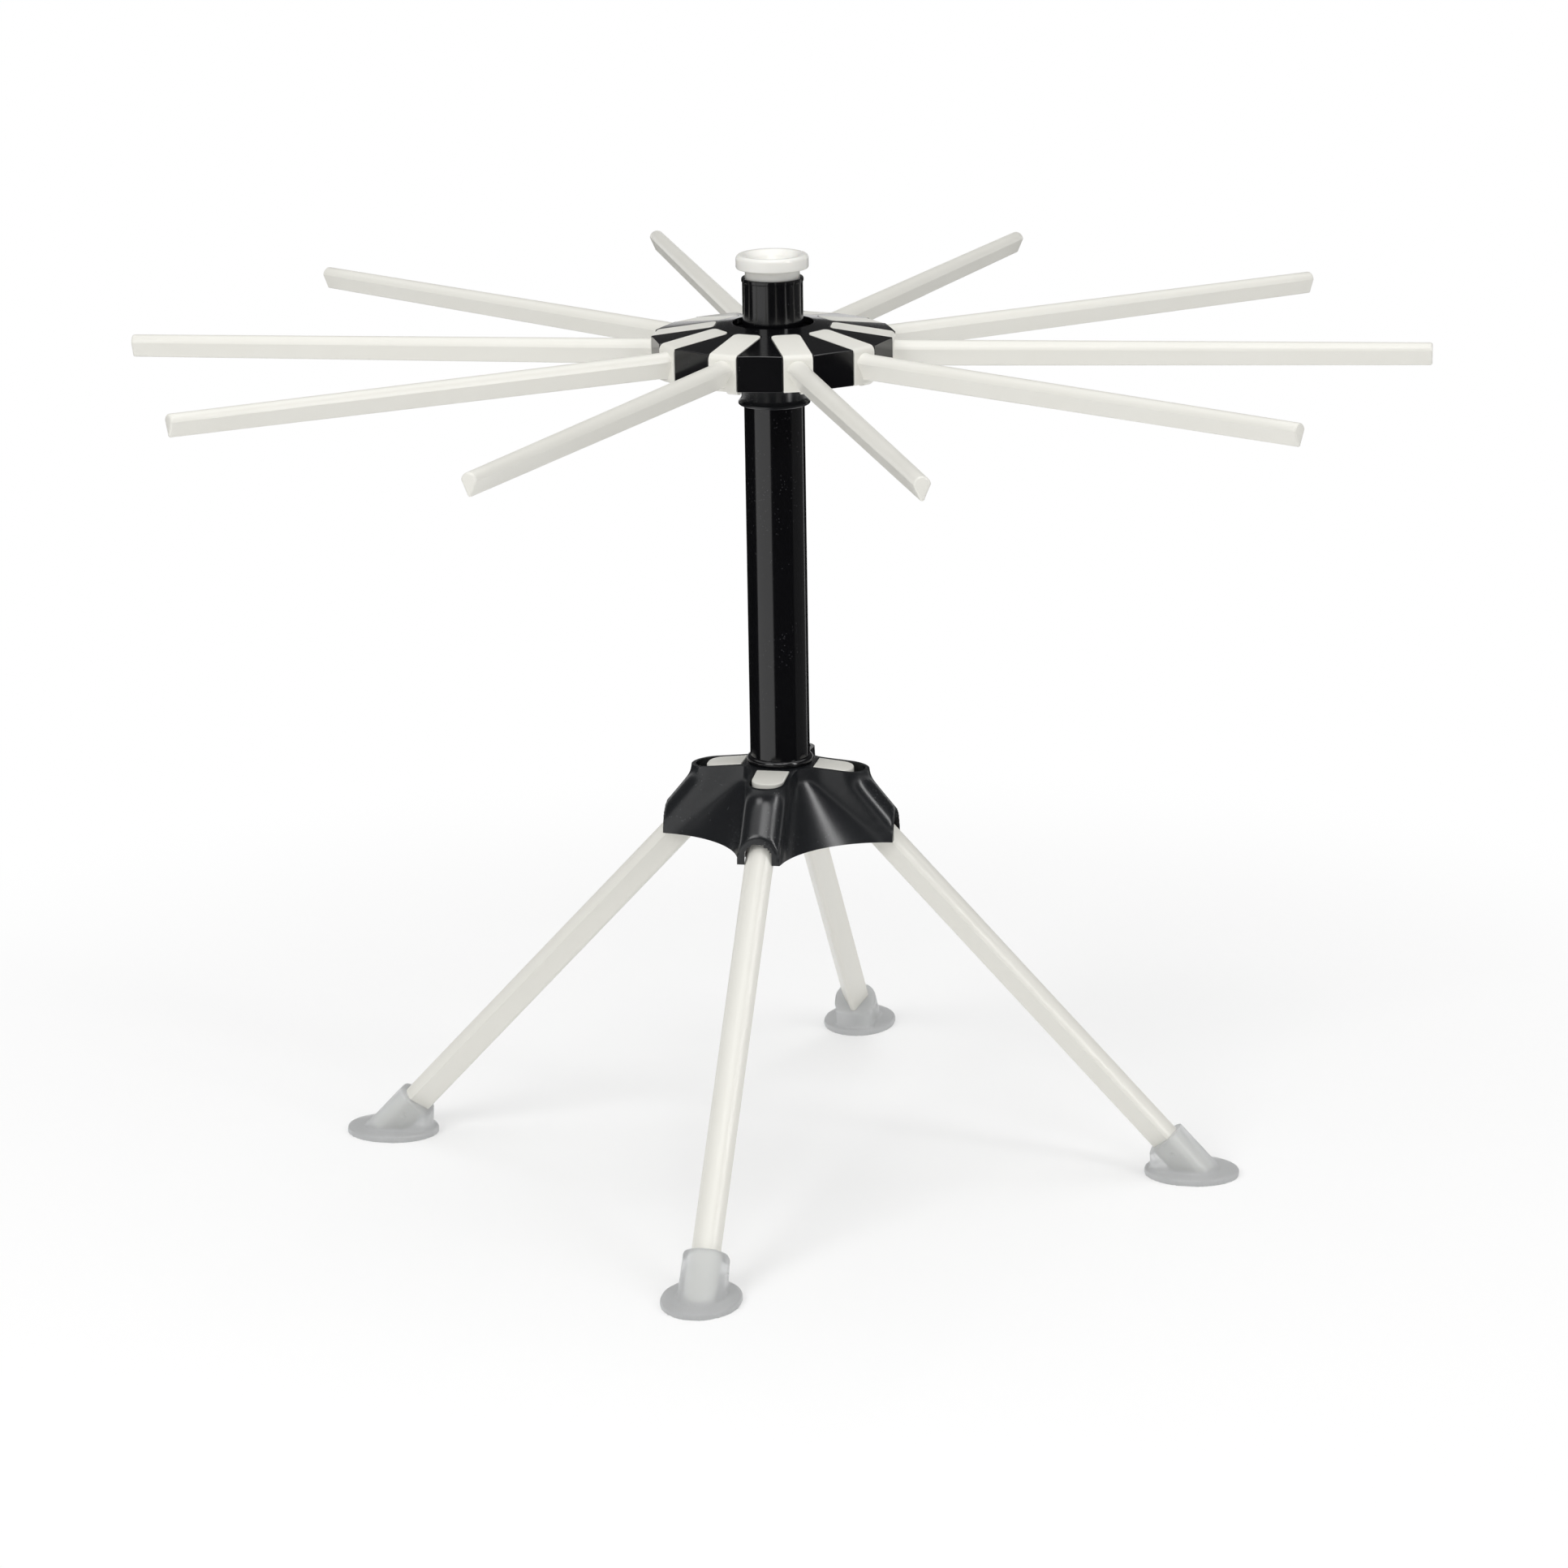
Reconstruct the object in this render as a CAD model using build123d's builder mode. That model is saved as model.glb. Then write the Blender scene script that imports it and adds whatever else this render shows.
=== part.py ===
from build123d import *
from math import atan2, cos, degrees, radians, sin, tan
import os

os.makedirs("parts", exist_ok=True)

# Pasta drying rack: ten arms that fold down round a hub on a tube, four legs that fold in,
# and a lifting wand kept in the tube. Millimetres, +Z up, origin on the table under the
# tube's axis, leg 0 along +X.

# Counts, and how far the arms are turned from the legs
arm_count = 10
leg_count = 4
hub_screw_count = 5
base_screw_count = 4
arm_pitch = 360 / arm_count
leg_pitch = 360 / leg_count
arm_offset_angle = 4.85

# Fits
running_clearance = 0.05
sliding_clearance = 0.3
press_clearance = 0.02
overrun = 5.0

# Tube
tube_radius = 12.2
tube_wall = 1.4
tube_proud = 18.1
tube_lip_reach = 0.3
tube_lip_height = 1.4
tube_mouth_depth = 2.0
bead_reach = 1.6
bead_height = 2.8
thrust_radius = 18.4
thrust_thickness = 2.0
tube_bore = tube_radius - tube_wall

# Arm hub
hub_bottom = 334.0
hub_rim_height = 14.4
hub_facet_radius = 48.1
hub_rise = 4.7
hub_hole_radius = 16.4
hub_top_wall = 2.4
hub_core_radius = 20.0
hub_edge_chamfer = 0.5
cover_thickness = 1.6
cover_radius = 36.5
hub_screw_circle = 31.0
hub_rim_top = hub_bottom + hub_rim_height
hub_crown = hub_rim_top + hub_rise
tube_top = hub_crown + tube_proud

# Arm
block_width = 11.8
block_start = 23.4
block_corner = 2.4
pad_proud = 0.7
pad_round = 2.2
pad_start = 39.5
slot_gap = 0.3
arm_reach = 262.2
arm_tip_round = 0.8
rod_root_width = 8.6
rod_root_rise = 1.5
rod_root_depth = 10.5
rod_tip_width = 6.6
rod_tip_rise = 3.1
rod_tip_depth = 9.1
pivot_radius = 45.0
pivot_rise = 4.0
stub_radius = 2.0
stub_length = 2.0
knuckle_radius = 3.2
knuckle_drop = 2.4
knuckle_out = 0.3
knuckle_width = 4.6
crown_share = 0.32
keel_share = 0.3
pivot_height = hub_bottom + pivot_rise
pad_face = hub_facet_radius + pad_proud

# Collar that carries the arm hub
collar_height = 14.1
collar_radius = 13.2
collar_flange_radius = 14.5
collar_flange_height = 1.2
collar_flare_height = 1.4

# Leg hub
leg_hub_bottom = 140.0
leg_hub_height = 28.3
leg_hub_rise = 2.2
leg_hub_wall = 1.8
lobe_end = 36.9
lobe_half_width = 8.8
lobe_wall = 2.0
rim_wall = 1.6
rim_round = 0.8
ridge_run = 18.8
mouth_radius = 48.0
web_top_radius = 15.8
web_bottom_radius = 30.0
socket_wall = 2.4
cheek_thickness = 2.0
stop_end = 17.0
tube_seat_rise = 10.0
tube_seat_wall = 7.0
base_thickness = 3.0
base_trim_radius = 38.0
boss_radius = 3.4
base_screw_circle = 19.6
leg_hub_top = leg_hub_bottom + leg_hub_height
leg_hub_crown = leg_hub_top + leg_hub_rise
socket_radius = tube_radius + socket_wall
shell_bottom = leg_hub_bottom + base_thickness
tube_seat = leg_hub_bottom + tube_seat_rise

# Leg
leg_slope = 47.15
leg_width = 11.8
leg_depth = 12.4
leg_head_width = 13.6
leg_head_end = 30.4
leg_head_corner = 5.5
leg_head_edge = 0.6
leg_pivot_radius = 24.0
leg_pivot_rise = 20.73
leg_stub_length = 1.2
leg_end_height = 3.0
leg_pivot_height = leg_hub_bottom + leg_pivot_rise
leg_slot_half_width = leg_head_width / 2 + sliding_clearance
leg_reach = leg_pivot_radius + leg_pivot_height / tan(radians(leg_slope))

# Foot
foot_length = 39.2
foot_width = 31.8
foot_rim = 2.7
foot_rim_round = 1.0
foot_setback = 2.5
sleeve_width = 18.4
sleeve_depth = 17.0
sleeve_corner = 7.6
sleeve_setback = 13.8
heel_setback = 19.6
heel_height = 9.2
heel_width = 16.5
heel_round = 6.5
dimple_radius = 2.2
dimple_depth = 0.6
dimple_from_rim = 6.0
foot_centre = leg_reach - foot_setback
sleeve_start = leg_reach - sleeve_setback
heel_start = leg_reach - heel_setback

# Lifting wand
knob_proud = 9.3
knob_radius = 14.6
knob_height = 5.6
knob_top_round = 1.6
knob_foot_round = 0.7
knob_rim = 2.4
knob_dish_edge = 9.2
knob_dish_slope = 1.6
knob_dish_floor = 7.8
knob_dish_depth = 4.4
neck_radius = 11.0
plug_length = 12.0
wand_radius = 5.0
wand_gap = 1.5
wand_seat_depth = 6.0
knob_top = tube_top + knob_proud

# Screws and the tube's plug
hub_screw_radius = 1.0
hub_screw_head_radius = 2.0
hub_screw_length = 7.0
base_screw_radius = 1.25
base_screw_head_radius = 2.4
base_screw_length = 9.0
head_height = 1.2
tube_screw_radius = 2.0
tube_screw_head_radius = 3.6
tube_screw_length = 13.0
tube_plug_height = 8.0


def spoke_plane(radius, height):
    """A plane square to the spoke along +X: x runs round the rack, y up, z outwards."""
    return Plane(origin=(radius, 0, height), x_dir=(0, 1, 0), z_dir=(1, 0, 0))


def leg_line(radius, offset=0):
    """Height of the leg's middle line at a radius, or of a line beside it."""
    slope = radians(leg_slope)
    return leg_pivot_height - (radius - leg_pivot_radius) * tan(slope) + offset / cos(slope)


def leg_plane(radius):
    """A plane square to the leg, facing down it, where its middle line is at a radius."""
    slope = radians(leg_slope)
    return Plane(origin=(radius, 0, leg_line(radius)), x_dir=(0, 1, 0), z_dir=(cos(slope), 0, -sin(slope)))


def hub_top_at(radius):
    """Height of the arm hub's sloping top."""
    return hub_rim_top + hub_rise * (hub_facet_radius - radius) / (hub_facet_radius - hub_hole_radius)


def leg_hub_top_at(radius):
    """Height of the leg hub's sloping top."""
    return leg_hub_top + leg_hub_rise * (lobe_end - radius) / (lobe_end - socket_radius)


def bar_profile(width, top, bottom):
    """Outline of an arm or leg: a crowned top, flat flanks and a narrow keel."""
    half = width / 2
    keel = half * keel_share
    shoulder = top - crown_share * (top - bottom)
    ThreePointArc((-half, shoulder), (0, top), (half, shoulder))
    Line((half, shoulder), (keel, bottom + keel))
    ThreePointArc((keel, bottom + keel), (0, bottom), (-keel, bottom + keel))
    Line((-keel, bottom + keel), (-half, shoulder))


def web_share(height):
    """How far down the leg hub's webs a height is: 0 at the crown, 1 at the bottom."""
    return (leg_hub_crown - height) / (leg_hub_crown - leg_hub_bottom)


def web_ring(height, inset=0):
    """Outline of the leg hub's webs: four hollow arcs between the lobes."""
    share = web_share(height)
    corner = web_top_radius + lobe_half_width
    reach = corner + (mouth_radius - corner) * share - inset
    web = web_top_radius + (web_bottom_radius - web_top_radius) * share - inset
    half = lobe_half_width - inset
    for number in range(leg_count):
        start = Vector(reach, half).rotate(Axis.Z, leg_pitch * number)
        middle = Vector(web, 0).rotate(Axis.Z, leg_pitch * (number + 1 / 2))
        end = Vector(reach, -half).rotate(Axis.Z, leg_pitch * (number + 1))
        after = Vector(reach, half).rotate(Axis.Z, leg_pitch * (number + 1))
        ThreePointArc(start, middle, end)
        Line(end, after)


def lobe_cross(height, inset=0):
    """Outline of the four lobes: round-ended spokes that lengthen downwards."""
    reach = lobe_end + (leg_hub_top - height) * ridge_run / leg_hub_height - inset
    half = lobe_half_width - inset
    SlotOverall(2 * reach, 2 * half)
    SlotOverall(2 * reach, 2 * half, rotation=leg_pitch)


def screw_ring(height, circle, count, start, radius, head_radius, length):
    """Countersunk screws in a ring, heads down."""
    with BuildPart() as ring:
        with BuildSketch(Plane.XY.offset(height)):
            with PolarLocations(circle, count, start):
                Circle(head_radius)
        extrude(amount=head_height, taper=degrees(atan2(head_radius - radius, head_height)))
        with BuildSketch(Plane.XY.offset(height)):
            with PolarLocations(circle, count, start):
                Circle(radius)
        extrude(amount=length)
    return ring.part


def export(solid, name):
    solid.label = name
    export_step(solid, f"parts/{name}.step")


# Tube with its lip, foot bead and the flange that holds the arm hub down
tube_mouth_radius = neck_radius + sliding_clearance
bead_bottom = leg_hub_top_at(socket_radius)
thrust_top = hub_crown - hub_top_wall - sliding_clearance
with BuildPart() as tube:
    with BuildSketch(Plane.XY.offset(tube_seat)):
        Circle(tube_radius)
    extrude(amount=tube_top - tube_seat)
    with BuildSketch(Plane.XZ):
        with BuildLine():
            Polyline(
                (tube_bore, tube_top),
                (tube_radius + tube_lip_reach, tube_top),
                (tube_radius + tube_lip_reach, tube_top - tube_lip_height),
                (tube_radius, tube_top - tube_lip_height - tube_lip_reach),
                (tube_bore, tube_top - tube_lip_height - tube_lip_reach),
                close=True,
            )
        make_face()
        with BuildLine():
            Polyline(
                (tube_radius, bead_bottom + bead_height),
                (tube_bore, bead_bottom + bead_height),
                (tube_bore, bead_bottom),
                (tube_radius, bead_bottom),
            )
            ThreePointArc(
                (tube_radius, bead_bottom),
                (tube_radius + bead_reach, bead_bottom + bead_height / 2),
                (tube_radius, bead_bottom + bead_height),
            )
        make_face()
    revolve(axis=Axis.Z)
    with BuildSketch(Plane.XY.offset(thrust_top - thrust_thickness)):
        Circle(thrust_radius)
    extrude(amount=thrust_thickness)
    with BuildSketch(Plane.XY.offset(tube_seat)):
        Circle(tube_bore)
    extrude(amount=tube_top - tube_seat, mode=Mode.SUBTRACT)
    with BuildSketch(Plane.XY.offset(tube_top - tube_mouth_depth)):
        Circle(tube_mouth_radius)
    extrude(amount=tube_mouth_depth, mode=Mode.SUBTRACT)
export(tube.part, "tube")

# Plug in the tube's foot, which takes the centre screw
with BuildPart() as tube_plug:
    with BuildSketch(Plane.XY.offset(tube_seat)):
        Circle(tube_bore)
    extrude(amount=tube_plug_height)
    with BuildSketch(Plane.XY.offset(tube_seat)):
        Circle(tube_screw_radius)
    extrude(amount=tube_screw_length - tube_seat_wall, mode=Mode.SUBTRACT)
export(tube_plug.part, "tube_plug")

# Collar on the tube
collar_bottom = hub_bottom - collar_height
with BuildPart() as hub_collar:
    with BuildSketch(Plane.XZ):
        with BuildLine():
            Polyline(
                (tube_radius, collar_bottom),
                (collar_flange_radius, collar_bottom),
                (collar_flange_radius, collar_bottom + collar_flange_height),
                (collar_radius, collar_bottom + collar_flange_height + collar_flare_height),
                (collar_radius, hub_bottom),
                (tube_radius, hub_bottom),
                close=True,
            )
        make_face()
    revolve(axis=Axis.Z)
export(hub_collar.part, "hub_collar")

# Countersunk screws, heads down
with BuildPart() as arm_hub_screws:
    add(screw_ring(hub_bottom, hub_screw_circle, hub_screw_count, arm_offset_angle + arm_pitch / 2,
                   hub_screw_radius, hub_screw_head_radius, hub_screw_length))
export(arm_hub_screws.part, "arm_hub_screws")

with BuildPart() as leg_hub_screws:
    add(screw_ring(leg_hub_bottom, base_screw_circle, base_screw_count, leg_pitch / 2,
                   base_screw_radius, base_screw_head_radius, base_screw_length))
export(leg_hub_screws.part, "leg_hub_screws")

with BuildPart() as tube_screw:
    add(screw_ring(tube_seat - tube_seat_wall, 0, 1, 0,
                   tube_screw_radius, tube_screw_head_radius, tube_screw_length))
export(tube_screw.part, "tube_screw")

# Arm hub: a ten-sided shell with a slot and a pair of bearing sockets for each arm
slot_half_width = block_width / 2 + slot_gap
slot_start = block_start - slot_gap
with BuildPart() as arm_hub:
    with BuildSketch(Plane.XY.offset(hub_bottom)):
        RegularPolygon(hub_facet_radius, arm_count, major_radius=False, rotation=arm_offset_angle)
    extrude(amount=hub_rim_height + hub_rise)
    with BuildSketch(Plane.XZ):
        with BuildLine():
            Polyline(
                (hub_hole_radius, hub_crown),
                (hub_facet_radius + overrun, hub_top_at(hub_facet_radius + overrun)),
                (hub_facet_radius + overrun, hub_crown + overrun),
                (hub_hole_radius, hub_crown + overrun),
                close=True,
            )
        make_face()
    revolve(axis=Axis.Z, mode=Mode.SUBTRACT)
    with BuildSketch(Plane.XY.offset(hub_bottom)):
        Circle(hub_hole_radius)
    extrude(amount=hub_rim_height + hub_rise, mode=Mode.SUBTRACT)
    with BuildSketch(Plane.XY.offset(hub_bottom)):
        Circle(hub_core_radius)
    extrude(amount=hub_rim_height + hub_rise - hub_top_wall, mode=Mode.SUBTRACT)
    with BuildSketch(Plane.XY.offset(hub_bottom)):
        Circle(cover_radius + press_clearance)
    extrude(amount=cover_thickness, mode=Mode.SUBTRACT)
    slot_length = hub_facet_radius + overrun - slot_start
    with BuildSketch(Plane.XY.offset(hub_bottom)) as slots:
        with PolarLocations(slot_start + slot_length / 2, arm_count, arm_offset_angle):
            Rectangle(slot_length, 2 * slot_half_width)
        fillet(
            slots.vertices().filter_by(lambda v: Vector(v.X, v.Y).length < hub_screw_circle),
            block_corner,
        )
    extrude(amount=hub_rim_height + hub_rise, mode=Mode.SUBTRACT)
    for number in range(arm_count):
        angle = arm_offset_angle + arm_pitch * number
        with BuildSketch(Plane.XZ.rotated((0, 0, angle))):
            with Locations((pivot_radius, pivot_height)):
                Circle(stub_radius + running_clearance)
        extrude(amount=slot_half_width + stub_length, both=True, mode=Mode.SUBTRACT)
    add(arm_hub_screws.part, mode=Mode.SUBTRACT)
    rim = arm_hub.edges().filter_by(
        lambda e: abs(e.center().Z - hub_rim_top) < hub_edge_chamfer
        and Vector(e.center().X, e.center().Y).length > hub_facet_radius - overrun / 2
    )
    chamfer(rim, hub_edge_chamfer)
export(arm_hub.part, "arm_hub")

# Cover under the arm hub
with BuildPart() as arm_hub_cover:
    with BuildSketch(Plane.XY.offset(hub_bottom)):
        Circle(cover_radius)
        Circle(tube_radius + running_clearance, mode=Mode.SUBTRACT)
    extrude(amount=cover_thickness)
    add(arm_hub_screws.part, mode=Mode.SUBTRACT)
export(arm_hub_cover.part, "arm_hub_cover")

# Arm along +X: a block that drops into its slot, a pad, and a tapering rod
rod_root_bottom = hub_bottom + rod_root_rise
rod_tip_bottom = hub_bottom + rod_tip_rise
with BuildPart() as arm:
    with BuildSketch(Plane.XZ):
        with BuildLine():
            Polyline(
                (block_start, hub_bottom + cover_thickness),
                (pad_start, hub_bottom + cover_thickness),
                (pad_start, hub_bottom),
                (pad_face, hub_bottom),
                (pad_face, hub_top_at(pad_face)),
                (block_start, hub_top_at(block_start)),
                close=True,
            )
        make_face()
    extrude(amount=block_width / 2, both=True)
    fillet(arm.edges().filter_by(Axis.Z).group_by(Axis.X)[0], block_corner)
    fillet(arm.edges().filter_by(Axis.Y).group_by(Axis.X)[-1].sort_by(Axis.Z)[-1], pad_round)
    with BuildSketch(spoke_plane(pad_face - pad_proud, 0)):
        with BuildLine():
            bar_profile(rod_root_width, rod_root_bottom + rod_root_depth, rod_root_bottom)
        make_face()
    with BuildSketch(spoke_plane(arm_reach, 0)):
        with BuildLine():
            bar_profile(rod_tip_width, rod_tip_bottom + rod_tip_depth, rod_tip_bottom)
        make_face()
    loft(ruled=True)
    fillet(arm.faces().sort_by(Axis.X)[-1].edges(), arm_tip_round)
    with BuildSketch(Plane.XZ):
        with Locations((pivot_radius, pivot_height)):
            Circle(stub_radius)
    extrude(amount=block_width / 2 + stub_length, both=True)
    with BuildSketch(Plane.XZ.offset(-block_width / 2)):
        with Locations((pivot_radius + knuckle_out, pivot_height - knuckle_drop)):
            Circle(knuckle_radius)
    extrude(amount=knuckle_width)
for number in range(arm_count):
    export(arm.part.rotate(Axis.Z, arm_offset_angle + arm_pitch * number), f"arm_{number}")

# What stays solid under the leg hub's roof for the leg along +X: two cheeks and a stop
with BuildPart() as leg_bearing:
    with BuildSketch(Plane.XZ):
        with BuildLine():
            Polyline(
                (tube_radius, shell_bottom),
                (mouth_radius, shell_bottom),
                (mouth_radius, leg_hub_top),
                (tube_radius, leg_hub_top),
                close=True,
            )
        make_face()
    extrude(amount=leg_slot_half_width + cheek_thickness, both=True)
    with BuildSketch(Plane.XY.offset(shell_bottom)):
        with Locations((socket_radius, 0)):
            Rectangle(mouth_radius, 2 * leg_slot_half_width, align=(Align.MIN, Align.CENTER))
    extrude(amount=leg_hub_height, mode=Mode.SUBTRACT)
    with BuildSketch(Plane.XZ):
        with BuildLine():
            Polyline(
                (tube_radius, shell_bottom),
                (socket_radius, shell_bottom),
                (stop_end, tube_seat),
                (stop_end, leg_line(stop_end, -leg_depth / 2)),
                (socket_radius, leg_line(socket_radius, -leg_depth / 2)),
                (tube_radius, leg_line(socket_radius, -leg_depth / 2)),
                close=True,
            )
        make_face()
    extrude(amount=leg_width / 2, both=True)

# The hollow inside the leg hub
with BuildPart() as leg_hub_core:
    for height in (leg_hub_bottom, leg_hub_crown):
        with BuildSketch(Plane.XY.offset(height)):
            with BuildLine():
                web_ring(height, leg_hub_wall)
            make_face()
    loft(ruled=True)
    for height in (leg_hub_bottom, leg_hub_crown):
        with BuildSketch(Plane.XY.offset(height)):
            lobe_cross(height, lobe_wall)
    loft(ruled=True)
    with BuildSketch(Plane.XY.offset(leg_hub_top - leg_hub_wall)):
        Rectangle(2 * mouth_radius, 2 * mouth_radius)
    extrude(amount=leg_hub_rise + leg_hub_wall, mode=Mode.SUBTRACT)
    slot_end = lobe_end - rim_wall
    with BuildSketch(Plane.XY.offset(shell_bottom)):
        SlotOverall(2 * slot_end, 2 * leg_slot_half_width)
        SlotOverall(2 * slot_end, 2 * leg_slot_half_width, rotation=leg_pitch)
    extrude(amount=leg_hub_crown - shell_bottom)
    with BuildSketch(Plane.XY.offset(shell_bottom)):
        Circle(socket_radius)
        with PolarLocations(base_screw_circle, base_screw_count, leg_pitch / 2):
            Circle(boss_radius)
    extrude(amount=leg_hub_height, mode=Mode.SUBTRACT)
    with PolarLocations(0, leg_count):
        add(leg_bearing.part, mode=Mode.SUBTRACT)

# Leg hub: hollow webs drawn in between four ridged lobes
with BuildPart() as leg_hub:
    for height in (leg_hub_bottom, leg_hub_crown):
        with BuildSketch(Plane.XY.offset(height)):
            with BuildLine():
                web_ring(height)
            make_face()
    loft(ruled=True)
    for height in (leg_hub_bottom, leg_hub_crown):
        with BuildSketch(Plane.XY.offset(height)):
            lobe_cross(height)
    loft(ruled=True)
    with BuildSketch(Plane.XY.offset(leg_hub_bottom)):
        Rectangle(2 * mouth_radius, 2 * mouth_radius)
    extrude(amount=leg_hub_height + leg_hub_rise, mode=Mode.INTERSECT)
    with BuildSketch(Plane.XZ):
        with BuildLine():
            Polyline(
                (socket_radius, leg_hub_crown),
                (lobe_end, leg_hub_top),
                (mouth_radius, leg_hub_top),
                (mouth_radius, leg_hub_crown + overrun),
                (socket_radius, leg_hub_crown + overrun),
                close=True,
            )
        make_face()
    revolve(axis=Axis.Z, mode=Mode.SUBTRACT)
    add(leg_hub_core.part, mode=Mode.SUBTRACT)
    rim = leg_hub.edges().filter_by(GeomType.BSPLINE).filter_by(
        lambda e: e.center().Z > leg_hub_top - rim_round / 2
        and min(abs(e.center().X), abs(e.center().Y)) > lobe_half_width * 2 / 3
    )
    fillet(rim, rim_round)
    with BuildSketch(Plane.XY.offset(tube_seat)):
        Circle(tube_radius)
    extrude(amount=leg_hub_height, mode=Mode.SUBTRACT)
    for number in range(leg_count):
        with BuildSketch(Plane.XZ.rotated((0, 0, leg_pitch * number))):
            with Locations((leg_pivot_radius, leg_pivot_height)):
                Circle(stub_radius + running_clearance)
        extrude(amount=leg_head_width / 2 + leg_stub_length, both=True, mode=Mode.SUBTRACT)
    add(leg_hub_screws.part, mode=Mode.SUBTRACT)
    add(tube_screw.part, mode=Mode.SUBTRACT)
export(leg_hub.part, "leg_hub")

# Base plate under the leg hub, open where the legs fold in
with BuildPart() as leg_hub_base:
    with BuildSketch(Plane.XY.offset(leg_hub_bottom)):
        with BuildLine():
            web_ring(shell_bottom, leg_hub_wall + sliding_clearance)
        make_face()
        Circle(base_trim_radius, mode=Mode.INTERSECT)
        with PolarLocations(socket_radius, leg_count):
            Rectangle(mouth_radius, 2 * leg_slot_half_width, align=(Align.MIN, Align.CENTER), mode=Mode.SUBTRACT)
    extrude(amount=base_thickness)
    add(leg_hub_screws.part, mode=Mode.SUBTRACT)
export(leg_hub_base.part, "leg_hub_base")

# Leg along +X: the bar on its own, cut level inside the foot, then with its head and stubs
with BuildPart() as leg_bar:
    with BuildSketch(leg_plane(leg_pivot_radius)):
        with BuildLine():
            bar_profile(leg_width, leg_depth / 2, -leg_depth / 2)
        make_face()
    extrude(amount=(leg_line(leg_pivot_radius) + leg_depth) / sin(radians(leg_slope)))
    with BuildSketch(Plane.XY.offset(leg_end_height)):
        Rectangle(2 * arm_reach, leg_head_width)
    extrude(amount=-(leg_end_height + 2 * leg_depth), mode=Mode.SUBTRACT)

with BuildPart() as leg:
    leg_head_start = socket_radius + sliding_clearance
    with BuildSketch(Plane.XZ):
        with BuildLine():
            Polyline(
                (leg_head_start, leg_hub_top_at(leg_head_start)),
                (leg_head_end, leg_hub_top_at(leg_head_end)),
                (leg_head_end, leg_line(leg_head_end)),
                (leg_pivot_radius, leg_line(leg_pivot_radius, -leg_depth / 2)),
                (leg_head_start, leg_line(leg_head_start, -leg_depth / 2)),
                close=True,
            )
        make_face()
    extrude(amount=leg_head_width / 2, both=True)
    fillet(leg.edges().filter_by(Axis.Z).group_by(Axis.X)[-1], leg_head_corner)
    fillet(leg.faces().sort_by(Axis.Z)[-1].edges(), leg_head_edge)
    add(leg_bar.part)
    with BuildSketch(Plane.XZ):
        with Locations((leg_pivot_radius, leg_pivot_height)):
            Circle(stub_radius)
    extrude(amount=leg_head_width / 2 + leg_stub_length, both=True)

# Rounded heel inside the foot's sleeve
heel_reach = sleeve_depth / 3
with BuildPart() as heel:
    with BuildSketch(Plane.XZ):
        with BuildLine():
            Polyline(
                (heel_start, 0),
                (heel_start, heel_height),
                (sleeve_start - heel_reach * sin(radians(leg_slope)),
                 leg_line(sleeve_start) - heel_reach * cos(radians(leg_slope))),
                (foot_centre, 0),
                close=True,
            )
        make_face()
    extrude(amount=heel_width / 2, both=True)
    fillet(heel.edges().filter_by(Axis.Z), heel_round)

# Foot under the leg along +X: an oval sole with a sleeve and a heel
with BuildPart() as foot:
    with BuildSketch():
        with Locations((foot_centre, 0)):
            Ellipse(foot_length / 2, foot_width / 2)
    extrude(amount=foot_rim)
    fillet(foot.faces().sort_by(Axis.Z)[-1].edges(), foot_rim_round)
    with BuildSketch(leg_plane(sleeve_start)):
        RectangleRounded(sleeve_width, sleeve_depth, sleeve_corner)
    extrude(amount=(leg_line(sleeve_start) + sleeve_depth) / sin(radians(leg_slope)))
    add(heel.part)
    with BuildSketch(Plane.XY):
        Rectangle(2 * arm_reach, 2 * foot_width)
    extrude(amount=-2 * sleeve_depth, mode=Mode.SUBTRACT)
    add(leg_bar.part, mode=Mode.SUBTRACT)
    dimple_radial = sleeve_start + dimple_from_rim * cos(radians(leg_slope))
    for side in (-1, 1):
        with BuildSketch(Plane.XZ.offset(side * sleeve_width / 2)):
            with Locations((dimple_radial, leg_line(dimple_radial))):
                Circle(dimple_radius)
        extrude(amount=-side * dimple_depth, mode=Mode.SUBTRACT)

for number in range(leg_count):
    export(leg.part.rotate(Axis.Z, leg_pitch * number), f"leg_{number}")
    export(foot.part.rotate(Axis.Z, leg_pitch * number), f"foot_{number}")

# Lifting wand: a dished knob whose neck stands in the tube's mouth, and the rod below it
knob_bottom = knob_top - knob_height
with BuildPart() as wand_knob:
    with BuildSketch(Plane.XZ):
        with BuildLine():
            Polyline(
                (0, tube_top - plug_length),
                (tube_bore - sliding_clearance, tube_top - plug_length),
                (tube_bore - sliding_clearance, tube_top - tube_mouth_depth),
                (neck_radius, tube_top - tube_mouth_depth),
                (neck_radius, knob_bottom),
                (knob_radius - knob_foot_round, knob_bottom),
            )
            TangentArc(
                (knob_radius - knob_foot_round, knob_bottom), (knob_radius, knob_bottom + knob_foot_round),
                tangent=(1, 0),
            )
            Line((knob_radius, knob_bottom + knob_foot_round), (knob_radius, knob_top - knob_top_round))
            TangentArc(
                (knob_radius, knob_top - knob_top_round), (knob_radius - knob_top_round, knob_top),
                tangent=(0, 1),
            )
            Polyline(
                (knob_radius - knob_top_round, knob_top),
                (knob_radius - knob_rim, knob_top),
                (knob_dish_edge, knob_top - knob_dish_slope),
                (knob_dish_floor, knob_top - knob_dish_depth),
                (0, knob_top - knob_dish_depth),
                (0, tube_top - plug_length),
            )
        make_face()
    revolve(axis=Axis.Z)
    with BuildSketch(Plane.XY.offset(tube_top - plug_length)):
        Circle(wand_radius)
    extrude(amount=wand_seat_depth, mode=Mode.SUBTRACT)
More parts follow.
